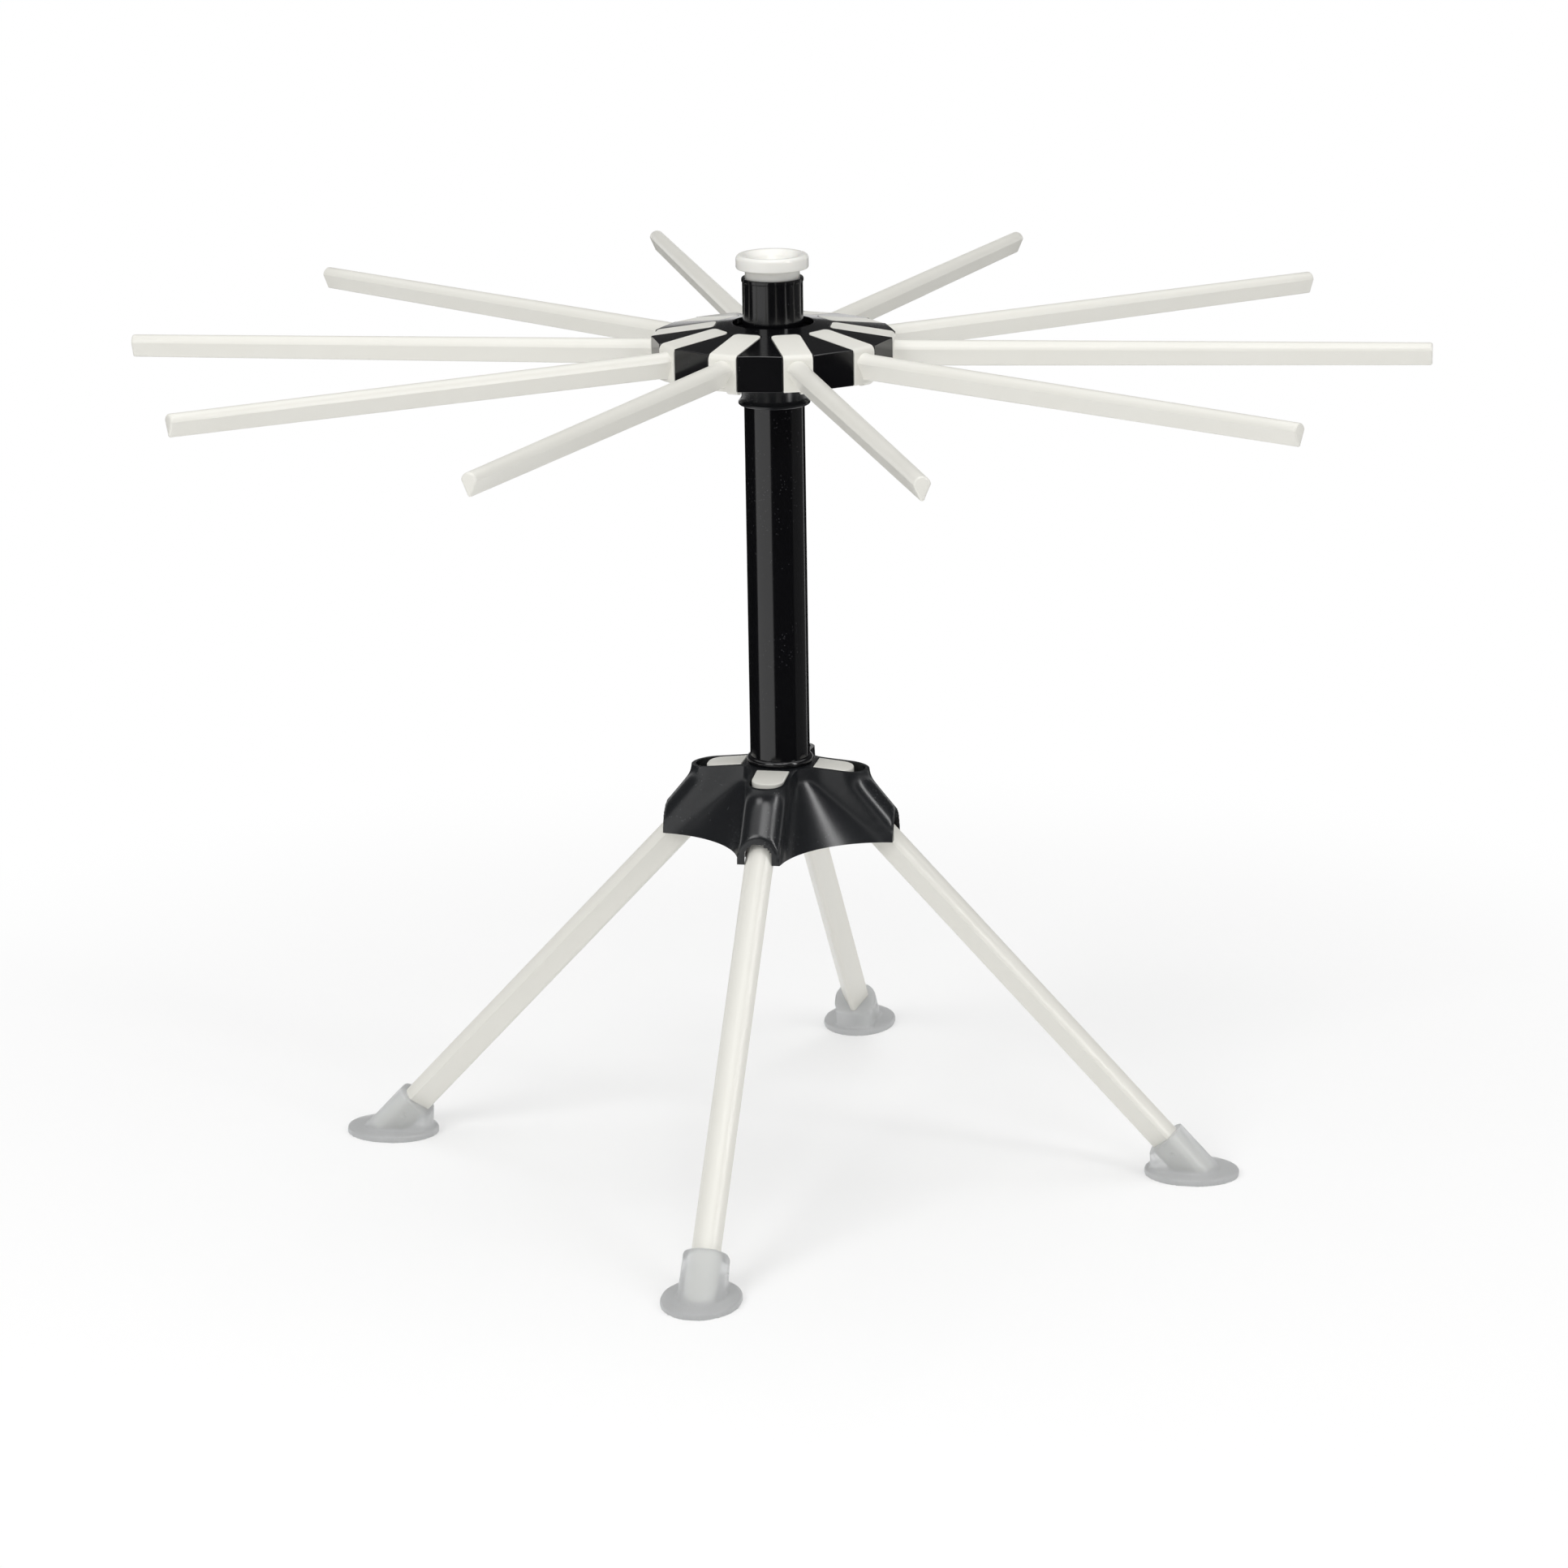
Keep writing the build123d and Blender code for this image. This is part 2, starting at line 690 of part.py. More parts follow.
export(wand_knob.part, "wand_knob")

with BuildPart() as wand_rod:
    wand_foot = tube_seat + tube_plug_height + wand_gap
    with BuildSketch(Plane.XY.offset(wand_foot)):
        Circle(wand_radius)
    extrude(amount=tube_top - plug_length + wand_seat_depth - wand_foot)
export(wand_rod.part, "wand_rod")
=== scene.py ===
import logging
from dataclasses import dataclass
from enum import Enum
from math import atan2, cos, hypot, pi, radians, sin, sqrt, tan
from typing import Callable, Iterable, Sequence

import bmesh
import bpy
from mathutils import Matrix, Vector


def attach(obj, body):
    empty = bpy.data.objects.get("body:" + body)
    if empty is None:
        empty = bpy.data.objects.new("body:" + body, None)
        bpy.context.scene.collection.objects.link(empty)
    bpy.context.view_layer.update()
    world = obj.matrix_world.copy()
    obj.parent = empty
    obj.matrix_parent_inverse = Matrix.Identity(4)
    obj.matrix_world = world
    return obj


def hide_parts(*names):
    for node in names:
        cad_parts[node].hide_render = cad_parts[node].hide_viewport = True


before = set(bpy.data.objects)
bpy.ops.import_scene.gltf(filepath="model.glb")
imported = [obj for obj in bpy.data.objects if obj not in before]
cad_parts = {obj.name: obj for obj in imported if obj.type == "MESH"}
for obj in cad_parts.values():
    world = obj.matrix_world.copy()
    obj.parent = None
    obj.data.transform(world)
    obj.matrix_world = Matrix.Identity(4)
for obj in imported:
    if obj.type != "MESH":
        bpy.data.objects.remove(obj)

# The drying rack, dressed for the studio. Lengths are in millimetres until a piece is
# finished, when its mesh is scaled to the frame's metres. Leg 0 lies along +X.

LOG = logging.getLogger("rack")
METRES = 0.001
MERGE = 0.0005
SLIVER = 0.03
NEAR = 0.1
ON_PLANE = 0.0001
TINY = 1e-6
FULL_TURN = 2 * pi
LEG_COUNT = 4
WHITE = (1.0, 1.0, 1.0, 1.0)
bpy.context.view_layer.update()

Mesh = bmesh.types.BMesh
Edge = bmesh.types.BMEdge
Socket = bpy.types.NodeSocket
Point2 = tuple[float, float]
Point3 = tuple[float, float, float]
Colour = tuple[float, float, float]


class Body(Enum):
    """The bodies that a piece can ride on."""

    STAND = "stand"
    ARM_HEAD = "arm_head"
    WAND = "wand"


class Slot(Enum):
    """The record's material slots."""

    BLACK_GLOSS = "black_gloss"
    BLACK_SATIN = "black_satin"
    IVORY = "ivory"
    WHITE_GLOSS = "white_gloss"
    CLEAR_GREY = "clear_grey"
    STEEL = "steel"


class Carve(Enum):
    """What a boolean does with its tool."""

    CUT = "DIFFERENCE"
    JOIN = "UNION"


# Mesh helpers


def arc(start: Point2, middle: Point2, end: Point2, count: int) -> list[Point2]:
    """Points along the arc through three points.

    Args:
        start: First point.
        middle: A point on the arc.
        end: Last point.
        count: How many spans the arc has.

    Returns:
        The points from start to end, both included.
    """
    (ax, ay), (bx, by), (cx, cy) = start, middle, end
    d = 2 * (ax * (by - cy) + bx * (cy - ay) + cx * (ay - by))
    aa, bb, cc = ax**2 + ay**2, bx**2 + by**2, cx**2 + cy**2
    ux = (aa * (by - cy) + bb * (cy - ay) + cc * (ay - by)) / d
    uy = (aa * (cx - bx) + bb * (ax - cx) + cc * (bx - ax)) / d
    radius = hypot(ax - ux, ay - uy)
    first = atan2(ay - uy, ax - ux)
    through = (atan2(by - uy, bx - ux) - first) % FULL_TURN
    sweep = (atan2(cy - uy, cx - ux) - first) % FULL_TURN
    if through > sweep:
        sweep -= FULL_TURN
    turns = [first + sweep * step / count for step in range(count + 1)]
    return [(ux + radius * cos(turn), uy + radius * sin(turn)) for turn in turns]


def rounded(start: Point2, end: Point2, radius: float, count: int) -> list[Point2]:
    """A quarter round that bulges up and outwards from its ends' middle.

    Args:
        start: First point.
        end: Last point.
        radius: Radius of the round.
        count: How many spans it has.

    Returns:
        The points from start to end.
    """
    bulge = radius * (1 - cos(pi / 4))
    outer = max(start[0], end[0]) - bulge
    if start[0] < end[0]:
        level = min(start[1], end[1]) + bulge
    else:
        level = max(start[1], end[1]) - bulge
    return arc(start, (outer, level), end, count)


def tidy(mesh: Mesh) -> Mesh:
    """Merges doubled corners and points every face outwards.

    Args:
        mesh: The mesh to clean.

    Returns:
        The same mesh.
    """
    bmesh.ops.remove_doubles(mesh, verts=mesh.verts, dist=MERGE)
    bmesh.ops.recalc_face_normals(mesh, faces=mesh.faces)
    return mesh


def lathe(outline: Sequence[Point2], steps: int = 96, closed: bool = False) -> Mesh:
    """Spins an outline about the Z axis.

    Args:
        outline: Radius and height of each corner.
        steps: Spans round the axis.
        closed: Whether the last corner joins the first one.

    Returns:
        The turned mesh.
    """
    mesh = bmesh.new()
    verts = [mesh.verts.new((radius, 0, height)) for radius, height in outline]
    edges = [mesh.edges.new(pair) for pair in zip(verts, verts[1:])]
    if closed:
        edges.append(mesh.edges.new((verts[-1], verts[0])))
    bmesh.ops.spin(
        mesh, geom=verts + edges, cent=(0, 0, 0), axis=(0, 0, 1), angle=FULL_TURN, steps=steps,
        use_merge=True,
    )
    return tidy(mesh)


def prism(outline: Sequence[Vector], depth: Vector) -> Mesh:
    """Extrudes a flat outline.

    Args:
        outline: Corners of the outline in order.
        depth: How far and which way it is extruded.

    Returns:
        The closed prism.
    """
    mesh = bmesh.new()
    face = mesh.faces.new([mesh.verts.new(corner) for corner in outline])
    result = bmesh.ops.extrude_face_region(mesh, geom=[face], use_keep_orig=True)
    moved = [item for item in result["geom"] if isinstance(item, bmesh.types.BMVert)]
    bmesh.ops.translate(mesh, verts=moved, vec=depth)
    return tidy(mesh)


def upright(points: Iterable[Point2], half_width: float) -> Mesh:
    """A slab along Y from an outline drawn as radius and height."""
    outline = [Vector((radius, -half_width, height)) for radius, height in points]
    return prism(outline, Vector((0, 2 * half_width, 0)))


def rod(radius: float, start: Vector, end: Vector, steps: int = 32) -> Mesh:
    """A round bar between two points.

    Args:
        radius: Its radius.
        start: Middle of one end.
        end: Middle of the other end.
        steps: Spans round it.

    Returns:
        The closed bar.
    """
    line = end - start
    mesh = bmesh.new()
    turn = line.to_track_quat("Z", "Y").to_matrix().to_4x4()
    bmesh.ops.create_cone(
        mesh, cap_ends=True, segments=steps, radius1=radius, radius2=radius, depth=line.length,
        matrix=Matrix.Translation((start + end) / 2) @ turn,
    )
    return mesh


def cross_bar(radius: float, reach: float, place: Point2) -> Mesh:
    """A round bar along Y that reaches as far to both sides of a radius and height."""
    out, height = place
    return rod(radius, Vector((out, -reach, height)), Vector((out, reach, height)))


def box(size: Point3, middle: Point3 = (0.0, 0.0, 0.0)) -> Mesh:
    """A block with its sides along the axes.

    Args:
        size: Its three lengths.
        middle: Where its middle is.

    Returns:
        The block.
    """
    mesh = bmesh.new()
    bmesh.ops.create_cube(mesh, size=1.0)
    bmesh.ops.scale(mesh, verts=mesh.verts, vec=size)
    bmesh.ops.translate(mesh, verts=mesh.verts, vec=middle)
    return mesh


def skin(rings: Sequence[Sequence[Vector]]) -> Mesh:
    """Bridges a row of closed rings and caps both ends.

    Args:
        rings: Rings with the same number of corners.

    Returns:
        The closed skin.
    """
    mesh = bmesh.new()
    loops = []
    for ring in rings:
        verts = [mesh.verts.new(corner) for corner in ring]
        loops.append([mesh.edges.new(pair) for pair in zip(verts, verts[1:] + verts[:1])])
    for first, second in zip(loops, loops[1:]):
        bmesh.ops.bridge_loops(mesh, edges=first + second)
    for loop in (loops[0], loops[-1]):
        bmesh.ops.contextual_create(mesh, geom=loop)
    bmesh.ops.recalc_face_normals(mesh, faces=mesh.faces)
    return mesh


def soften(mesh: Mesh, chosen: Callable[[Edge], bool], size: float, spans: int = 4) -> None:
    """Rounds the edges that are chosen.

    Args:
        mesh: The mesh to change.
        chosen: Says whether an edge is rounded.
        size: Offset of the round.
        spans: Segments across it.
    """
    edges = [edge for edge in mesh.edges if chosen(edge)]
    bmesh.ops.bevel(
        mesh, geom=edges, offset=size, offset_type="OFFSET", affect="EDGES", segments=spans,
        profile=0.5, material=-1,
    )


def standing_at(place: float) -> Callable[[Edge], bool]:
    """Picks the upright edges at a place along X."""
    return lambda edge: all(abs(vert.co.x - place) < NEAR for vert in edge.verts) and (
        abs(edge.verts[0].co.z - edge.verts[1].co.z) > 1
    )


def trimmed(mesh: Mesh, place: Sequence[float], outwards: Sequence[float]) -> None:
    """Cuts off what lies beyond a plane and closes the cut.

    Args:
        mesh: The mesh to trim.
        place: A point of the plane.
        outwards: Which side goes.
    """
    cut = bmesh.ops.bisect_plane(
        mesh, geom=mesh.verts[:] + mesh.edges[:] + mesh.faces[:], dist=ON_PLANE,
        plane_co=place, plane_no=outwards, clear_outer=True,
    )
    rim = [item for item in cut["geom_cut"] if isinstance(item, Edge)]
    bmesh.ops.contextual_create(mesh, geom=rim or [edge for edge in mesh.edges if edge.is_boundary])


def around(mesh: Mesh, angle: float) -> Mesh:
    """A copy of the mesh, turned about the Z axis by an angle in degrees."""
    copy = mesh.copy()
    turn = Matrix.Rotation(radians(angle), 3, "Z")
    bmesh.ops.rotate(copy, verts=copy.verts, cent=(0, 0, 0), matrix=turn)
    return copy


def in_ring(mesh: Mesh, count: int, start: float = 0.0) -> list[Mesh]:
    """Copies of a mesh at even steps about the Z axis.

    Args:
        mesh: The mesh, used up.
        count: How many copies there are.
        start: Where the first one is, in degrees.

    Returns:
        The copies.
    """
    copies = [around(mesh, start + 360 / count * number) for number in range(count)]
    mesh.free()
    return copies


def gathered(parts: Iterable[Mesh]) -> Mesh:
    """Puts several meshes into one.

    Args:
        parts: The meshes, used up.

    Returns:
        One mesh that holds them all.
    """
    whole = bmesh.new()
    for part in parts:
        loose = bpy.data.meshes.new("loose")
        part.to_mesh(loose)
        part.free()
        whole.from_mesh(loose)
        bpy.data.meshes.remove(loose)
    return whole


def linked(name: str, mesh: Mesh) -> bpy.types.Object:
    """Turns a mesh into an object of the scene.

    Args:
        name: The object's name.
        mesh: Its shape, used up.

    Returns:
        The object.
    """
    data = bpy.data.meshes.new(name)
    mesh.to_mesh(data)
    mesh.free()
    item = bpy.data.objects.new(name, data)
    bpy.context.scene.collection.objects.link(item)
    return item


def worked(items: Sequence[bpy.types.Object]) -> Mesh:
    """Takes the first object's shape as its modifiers leave it.

    Args:
        items: That object and any that its modifiers use, all used up.

    Returns:
        The shape.
    """
    result = bmesh.new()
    result.from_object(items[0], bpy.context.evaluated_depsgraph_get())
    for item in items:
        data = item.data
        bpy.data.objects.remove(item)
        bpy.data.meshes.remove(data)
    return result


def carved(body: Mesh, tool: Mesh, how: Carve = Carve.CUT) -> Mesh:
    """Cuts a mesh with another or joins them.

    Args:
        body: The mesh that is worked on, used up.
        tool: The mesh it is worked with, used up.
        how: Cut or join.

    Returns:
        The worked mesh.
    """
    pair = [linked("carving", mesh) for mesh in (body, tool)]
    modifier = pair[0].modifiers.new("carve", "BOOLEAN")
    modifier.operation = how.value
    modifier.solver = "EXACT"
    modifier.object = pair[1]
    result = worked(pair)
    bmesh.ops.remove_doubles(result, verts=result.verts, dist=MERGE)
    return result


@dataclass
class Piece:
    """What becomes of a finished mesh: its name, finish, body, slot and the nodes it stands for."""

    name: str
    material: bpy.types.Material
    body: str
    slot: Slot
    nodes: Sequence[str]
    edge: float = 0.0
    edge_spans: int = 2
    crease: float = 32.0

    def place(self, mesh: Mesh) -> bpy.types.Object:
        """Scales the mesh to metres, links it and hands it to its body.

        Args:
            mesh: The finished mesh in millimetres, used up.

        Returns:
            The object.
        """
        if self.edge:
            bmesh.ops.remove_doubles(mesh, verts=mesh.verts, dist=SLIVER)
            bmesh.ops.dissolve_degenerate(mesh, edges=mesh.edges, dist=SLIVER)
        bmesh.ops.scale(mesh, verts=mesh.verts, vec=(METRES, METRES, METRES))
        item = linked(self.name, mesh)
        data = item.data
        data.shade_smooth()
        data.set_sharp_from_angle(angle=radians(self.crease))
        data.materials.append(self.material)
        if self.edge:
            bevel = item.modifiers.new("edges", "BEVEL")
            bevel.width = self.edge * METRES
            bevel.segments = self.edge_spans
            bevel.limit_method = "ANGLE"
            bevel.angle_limit = radians(self.crease)
            bevel.harden_normals = True
        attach(item, self.body)
        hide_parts(*self.nodes)
        LOG.info("%s: %d faces, rides on %s", self.name, len(data.polygons), self.body)
        return item


# Finishes


class Shader:
    """Builds one shader graph, with short ways to add nodes and join them."""

    def __init__(self, tree: bpy.types.NodeTree) -> None:
        """Takes the tree that the nodes go into."""
        self.tree = tree

    def feed(self, target: Socket, value: object) -> None:
        """Links an output to an input, or sets the input's own value.

        Args:
            target: The input.
            value: An output socket, a number or a colour.
        """
        if isinstance(value, Socket):
            self.tree.links.new(value, target)
        else:
            target.default_value = value

    def node(self, kind: str, given: dict | None = None, **settings: object) -> bpy.types.Node:
        """Adds a node.

        Args:
            kind: The node's type.
            given: What its inputs are fed with, by name or number.
            settings: Its properties.

        Returns:
            The node.
        """
        added = self.tree.nodes.new(kind)
        for name, value in settings.items():
            setattr(added, name, value)
        for key, value in (given or {}).items():
            self.feed(added.inputs[key], value)
        return added

    def math(self, operation: str, first: object, second: object, **settings: object) -> Socket:
        """Adds a Math node.

        Args:
            operation: What it does.
            first: A socket or a number.
            second: A socket or a number.
            settings: Its other properties.

        Returns:
            Its output.
        """
        given = {0: first, 1: second}
        return self.node("ShaderNodeMath", given, operation=operation, **settings).outputs[0]

    def place(self) -> Socket:
        """The place on the piece, in its own coordinates."""
        return self.node("ShaderNodeTexCoord").outputs["Object"]

    def noise(self, place: Socket, scale: object, detail: float, distortion: float = 0.0) -> Socket:
        """Adds a noise texture.

        Args:
            place: Where it is read.
            scale: Waves per metre, a socket or a number.
            detail: Its octaves.
            distortion: How far it is warped.

        Returns:
            Its value.
        """
        given = {"Vector": place, "Scale": scale, "Detail": detail, "Distortion": distortion}
        return self.node("ShaderNodeTexNoise", given).outputs["Fac"]


class SharedGroups:
    """The node groups that the finishes share, each made once."""

    def __init__(self) -> None:
        """Makes the four groups."""
        self.grain = self.mould_grain()
        self.flow = self.flow_marks()
        self.dust = self.specks()
        self.lines = self.draw_lines()

    def start(
        self, name: str, inputs: dict[str, float], outputs: Sequence[str]
    ) -> tuple[Shader, Sequence[Socket], Sequence[Socket]]:
        """Opens a group with named value sockets.

        Args:
            name: The group's name.
            inputs: Input names with their defaults.
            outputs: Output names.

        Returns:
            The shader builder, what comes into the group and where its results go.
        """
        tree = bpy.data.node_groups.new(name, "ShaderNodeTree")
        for label, value in inputs.items():
            socket = tree.interface.new_socket(label, in_out="INPUT", socket_type="NodeSocketFloat")
            socket.default_value = value
        for label in outputs:
            tree.interface.new_socket(label, in_out="OUTPUT", socket_type="NodeSocketFloat")
        shader = Shader(tree)
        return shader, shader.node("NodeGroupInput").outputs, shader.node("NodeGroupOutput").inputs

    def mould_grain(self) -> bpy.types.NodeTree:
        """Fine pebbling that a mould leaves: a height and a value that varies gloss.

        Returns:
            The group.
        """
        shader, given, out = self.start(
            "Mould Grain", {"Grains per Metre": 2500.0, "Waviness": 0.3}, ("Height", "Gloss")
        )
        place = shader.place()
        fine = shader.noise(place, given["Grains per Metre"], 3.0)
        broad = shader.noise(place, 42.0, 2.0)
        swell = shader.math("MULTIPLY", broad, given["Waviness"])
        shader.feed(out["Height"], shader.math("ADD", fine, swell))
        shader.feed(out["Gloss"], broad)
        return shader.tree

    def flow_marks(self) -> bpy.types.NodeTree:
        """Soft streaks where plastic flowed and cooled unevenly, as a mask.

        Returns:
            The group.
        """
        shader, given, out = self.start("Flow Marks", {"Size": 18.0, "Contrast": 0.5}, ("Mask",))
        streak = shader.noise(shader.place(), given["Size"], 4.0, 0.8)
        spread = shader.math("MULTIPLY", shader.math("SUBTRACT", streak, 0.5), given["Contrast"])
        shader.feed(out["Mask"], shader.math("ADD", spread, 0.5, use_clamp=True))
        return shader.tree

    def specks(self) -> bpy.types.NodeTree:
        """Dust and tiny bright grains in patches, as a mask.

        Returns:
            The group.
        """
        inputs = {"Specks per Metre": 700.0, "Share": 0.2, "Patch Level": 0.52}
        shader, given, out = self.start("Specks", inputs, ("Mask",))
        place = shader.place()
        spread = {"Vector": place, "Scale": given["Specks per Metre"]}
        cells = shader.node("ShaderNodeTexVoronoi", spread).outputs["Distance"]
        near = shader.math("LESS_THAN", cells, given["Share"])
        some = shader.math("GREATER_THAN", shader.noise(place, 55.0, 2.0), given["Patch Level"])
        shader.feed(out["Mask"], shader.math("MULTIPLY", near, some))
        return shader.tree

    def draw_lines(self) -> bpy.types.NodeTree:
        """Fine lines that run up the piece, left by the mould's polish or a lathe, as a height.

        Returns:
            The group.
        """
        inputs = {"Lines per Metre": 900.0, "Stretch": 0.04}
        shader, given, out = self.start("Draw Lines", inputs, ("Height",))
        squeeze = shader.node("ShaderNodeCombineXYZ", {"X": 1.0, "Y": 1.0, "Z": given["Stretch"]})
        scaled = shader.node(
            "ShaderNodeVectorMath", {0: shader.place(), 1: squeeze.outputs[0]}, operation="MULTIPLY"
        )
        lines = shader.noise(scaled.outputs[0], given["Lines per Metre"], 2.0)
        shader.feed(out["Height"], lines)
        return shader.tree


@dataclass(frozen=True)
class Finish:
    """One moulded or metal finish: its tones, gloss, grain, lines and specks."""

    name: str
    tone: Colour
    second_tone: Colour
    roughness: float
    roughness_spread: float = 0.06
    flow_size: float = 18.0
    flow_contrast: float = 0.7
    grain: float = 2500.0
    waviness: float = 0.3
    grain_depth: float = 0.00001
    grain_strength: float = 0.15
    lines: float = 0.0
    line_depth: float = 0.00001
    specks: float = 0.0
    speck_tone: Colour = (0.4, 0.4, 0.4)
    metallic: float = 0.0
    specular: float = 0.5
    subsurface: float = 0.0
    subsurface_radius: Colour = (0.004, 0.003, 0.002)
    transmission: float = 0.0
    ior: float = 1.5

    def build(self, groups: SharedGroups) -> bpy.types.Material:
        """Makes the material.

        Args:
            groups: The shared groups.

        Returns:
            The material.
        """
        material = bpy.data.materials.new(self.name)
        material.use_nodes = True
        material.diffuse_color = (*self.tone, 1.0)
        shader = Shader(material.node_tree)
        pebbles = {"Grains per Metre": self.grain, "Waviness": self.waviness}
        grain = shader.node("ShaderNodeGroup", pebbles, node_tree=groups.grain).outputs
        spread = shader.math("MULTIPLY", grain["Gloss"], 2 * self.roughness_spread)
        bump = {"Distance": self.grain_depth, "Height": grain["Height"]}
        if self.lines:
            lines = shader.node(
                "ShaderNodeGroup", {"Lines per Metre": self.lines}, node_tree=groups.lines
            )
            under = {"Distance": self.line_depth, "Height": lines.outputs["Height"]}
            bump["Normal"] = self.bumped(shader, under)
        surface = {
            "Base Color": self.colour_mix(shader, groups),
            "Metallic": self.metallic,
            "Roughness": shader.math("ADD", spread, self.roughness - self.roughness_spread),
            "IOR": self.ior,
            "Specular IOR Level": self.specular,
            "Subsurface Weight": self.subsurface,
            "Subsurface Radius": self.subsurface_radius,
            "Subsurface Scale": 1.0,
            "Transmission Weight": self.transmission,
            "Normal": self.bumped(shader, bump),
        }
        principled = material.node_tree.nodes["Principled BSDF"]
        for name, value in surface.items():
            shader.feed(principled.inputs[name], value)
        return material

    def bumped(self, shader: Shader, given: dict) -> Socket:
        """Turns a height into a normal, as strongly as the finish's grain."""
        given["Strength"] = self.grain_strength
        return shader.node("ShaderNodeBump", given).outputs["Normal"]

    def colour_mix(self, shader: Shader, groups: SharedGroups) -> Socket:
        """Blends the two tones by flow marks and lays specks over them.

        Args:
            shader: The material's graph.
            groups: The shared groups.

        Returns:
            The colour's socket.
        """
        streaks = {"Size": self.flow_size, "Contrast": self.flow_contrast}
        flow = shader.node("ShaderNodeGroup", streaks, node_tree=groups.flow)
        layers = [(flow, self.second_tone)]
        if self.specks:
            dust = shader.node("ShaderNodeGroup", {"Share": self.specks}, node_tree=groups.dust)
            layers.append((dust, self.speck_tone))
        colour = (*self.tone, 1.0)
        for mask, tone in layers:
            given = {0: mask.outputs["Mask"], 6: colour, 7: (*tone, 1.0)}
            colour = shader.node("ShaderNodeMix", given, data_type="RGBA").outputs[2]
        return colour


GLOSS_BLACK = Finish(
    name="GlossBlack", tone=(0.0025, 0.0025, 0.003), second_tone=(0.0045, 0.0045, 0.0055),
    roughness=0.13, roughness_spread=0.03, grain=1800.0, waviness=1.2, grain_strength=0.05,
    specks=0.13, speck_tone=(0.05, 0.05, 0.053),
)
SATIN_BLACK = Finish(
    name="SatinBlack", tone=(0.008, 0.009, 0.01), second_tone=(0.013, 0.014, 0.016),
    roughness=0.25, roughness_spread=0.05, grain=3200.0, waviness=1.2, grain_depth=0.00002,
    grain_strength=0.12, lines=1100.0, line_depth=0.000008, specks=0.14,
    speck_tone=(0.06, 0.062, 0.066),
)
IVORY = Finish(
    name="IvoryPlastic", tone=(0.795, 0.787, 0.74), second_tone=(0.755, 0.742, 0.682),
    roughness=0.34, flow_size=26.0, grain=1500.0, waviness=1.5, grain_depth=0.00002,
    grain_strength=0.1, specular=0.45,
)
KNOB_WHITE = Finish(
    name="KnobWhite", tone=(0.84, 0.835, 0.8), second_tone=(0.81, 0.8, 0.76), roughness=0.24,
    roughness_spread=0.05, grain=1500.0, waviness=1.0, grain_strength=0.08, subsurface=0.1,
    subsurface_radius=(0.003, 0.0025, 0.0018),
)
CLEAR_RUBBER = Finish(
    name="ClearRubber", tone=(0.88, 0.89, 0.89), second_tone=(0.82, 0.83, 0.83), roughness=0.34,
    roughness_spread=0.05, flow_size=90.0, grain=900.0, waviness=2.5, grain_depth=0.00005,
    subsurface=0.3, subsurface_radius=(0.004, 0.0041, 0.0042), transmission=0.72, ior=1.3,
)
ZINC = Finish(
    name="ZincSteel", tone=(0.62, 0.62, 0.6), second_tone=(0.5, 0.5, 0.49), roughness=0.3,
    roughness_spread=0.08, flow_size=400.0, grain=5000.0, waviness=0.5, lines=2200.0,
    metallic=1.0,
)


class Paintbox:
    """Every finish as a material, made once."""

    def __init__(self) -> None:
        """Builds the shared groups and the six materials."""
        groups = SharedGroups()
        self.gloss_black = GLOSS_BLACK.build(groups)
        self.satin_black = SATIN_BLACK.build(groups)
        self.ivory = IVORY.build(groups)
        self.knob_white = KNOB_WHITE.build(groups)
        self.clear_rubber = CLEAR_RUBBER.build(groups)
        self.zinc = ZINC.build(groups)

    def coat_node(self, node: str, material: bpy.types.Material) -> None:
        """Gives a CAD node that stays in view its finish.

        Args:
            node: The node's name.
            material: The finish.
        """
        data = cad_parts[node]
        if not data.material_slots:
            data.data.materials.append(material)
        for place in data.material_slots:
            place.material = material
        LOG.info("%s: dressed with %s", node, material.name)


# The object


KEEL_SHARE = 0.3
CROWN_SHARE = 0.32
CROWN_SPANS = 14
KEEL_SPANS = 6


def bar_outline(width: float, top: float, bottom: float) -> list[Point2]:
    """Section of an arm or leg: crowned top, flat flanks, narrow keel.

    Args:
        width: Across the flanks.
        top: Height of the crown.
        bottom: Height of the keel.

    Returns:
        Points as sideways place and height, all the way round.
    """
    half = width / 2
    keel = half * KEEL_SHARE
    shoulder = top - CROWN_SHARE * (top - bottom)
    crown = arc((-half, shoulder), (0, top), (half, shoulder), CROWN_SPANS)
    sole = arc((keel, bottom + keel), (0, bottom), (-keel, bottom + keel), KEEL_SPANS)
    return crown + sole


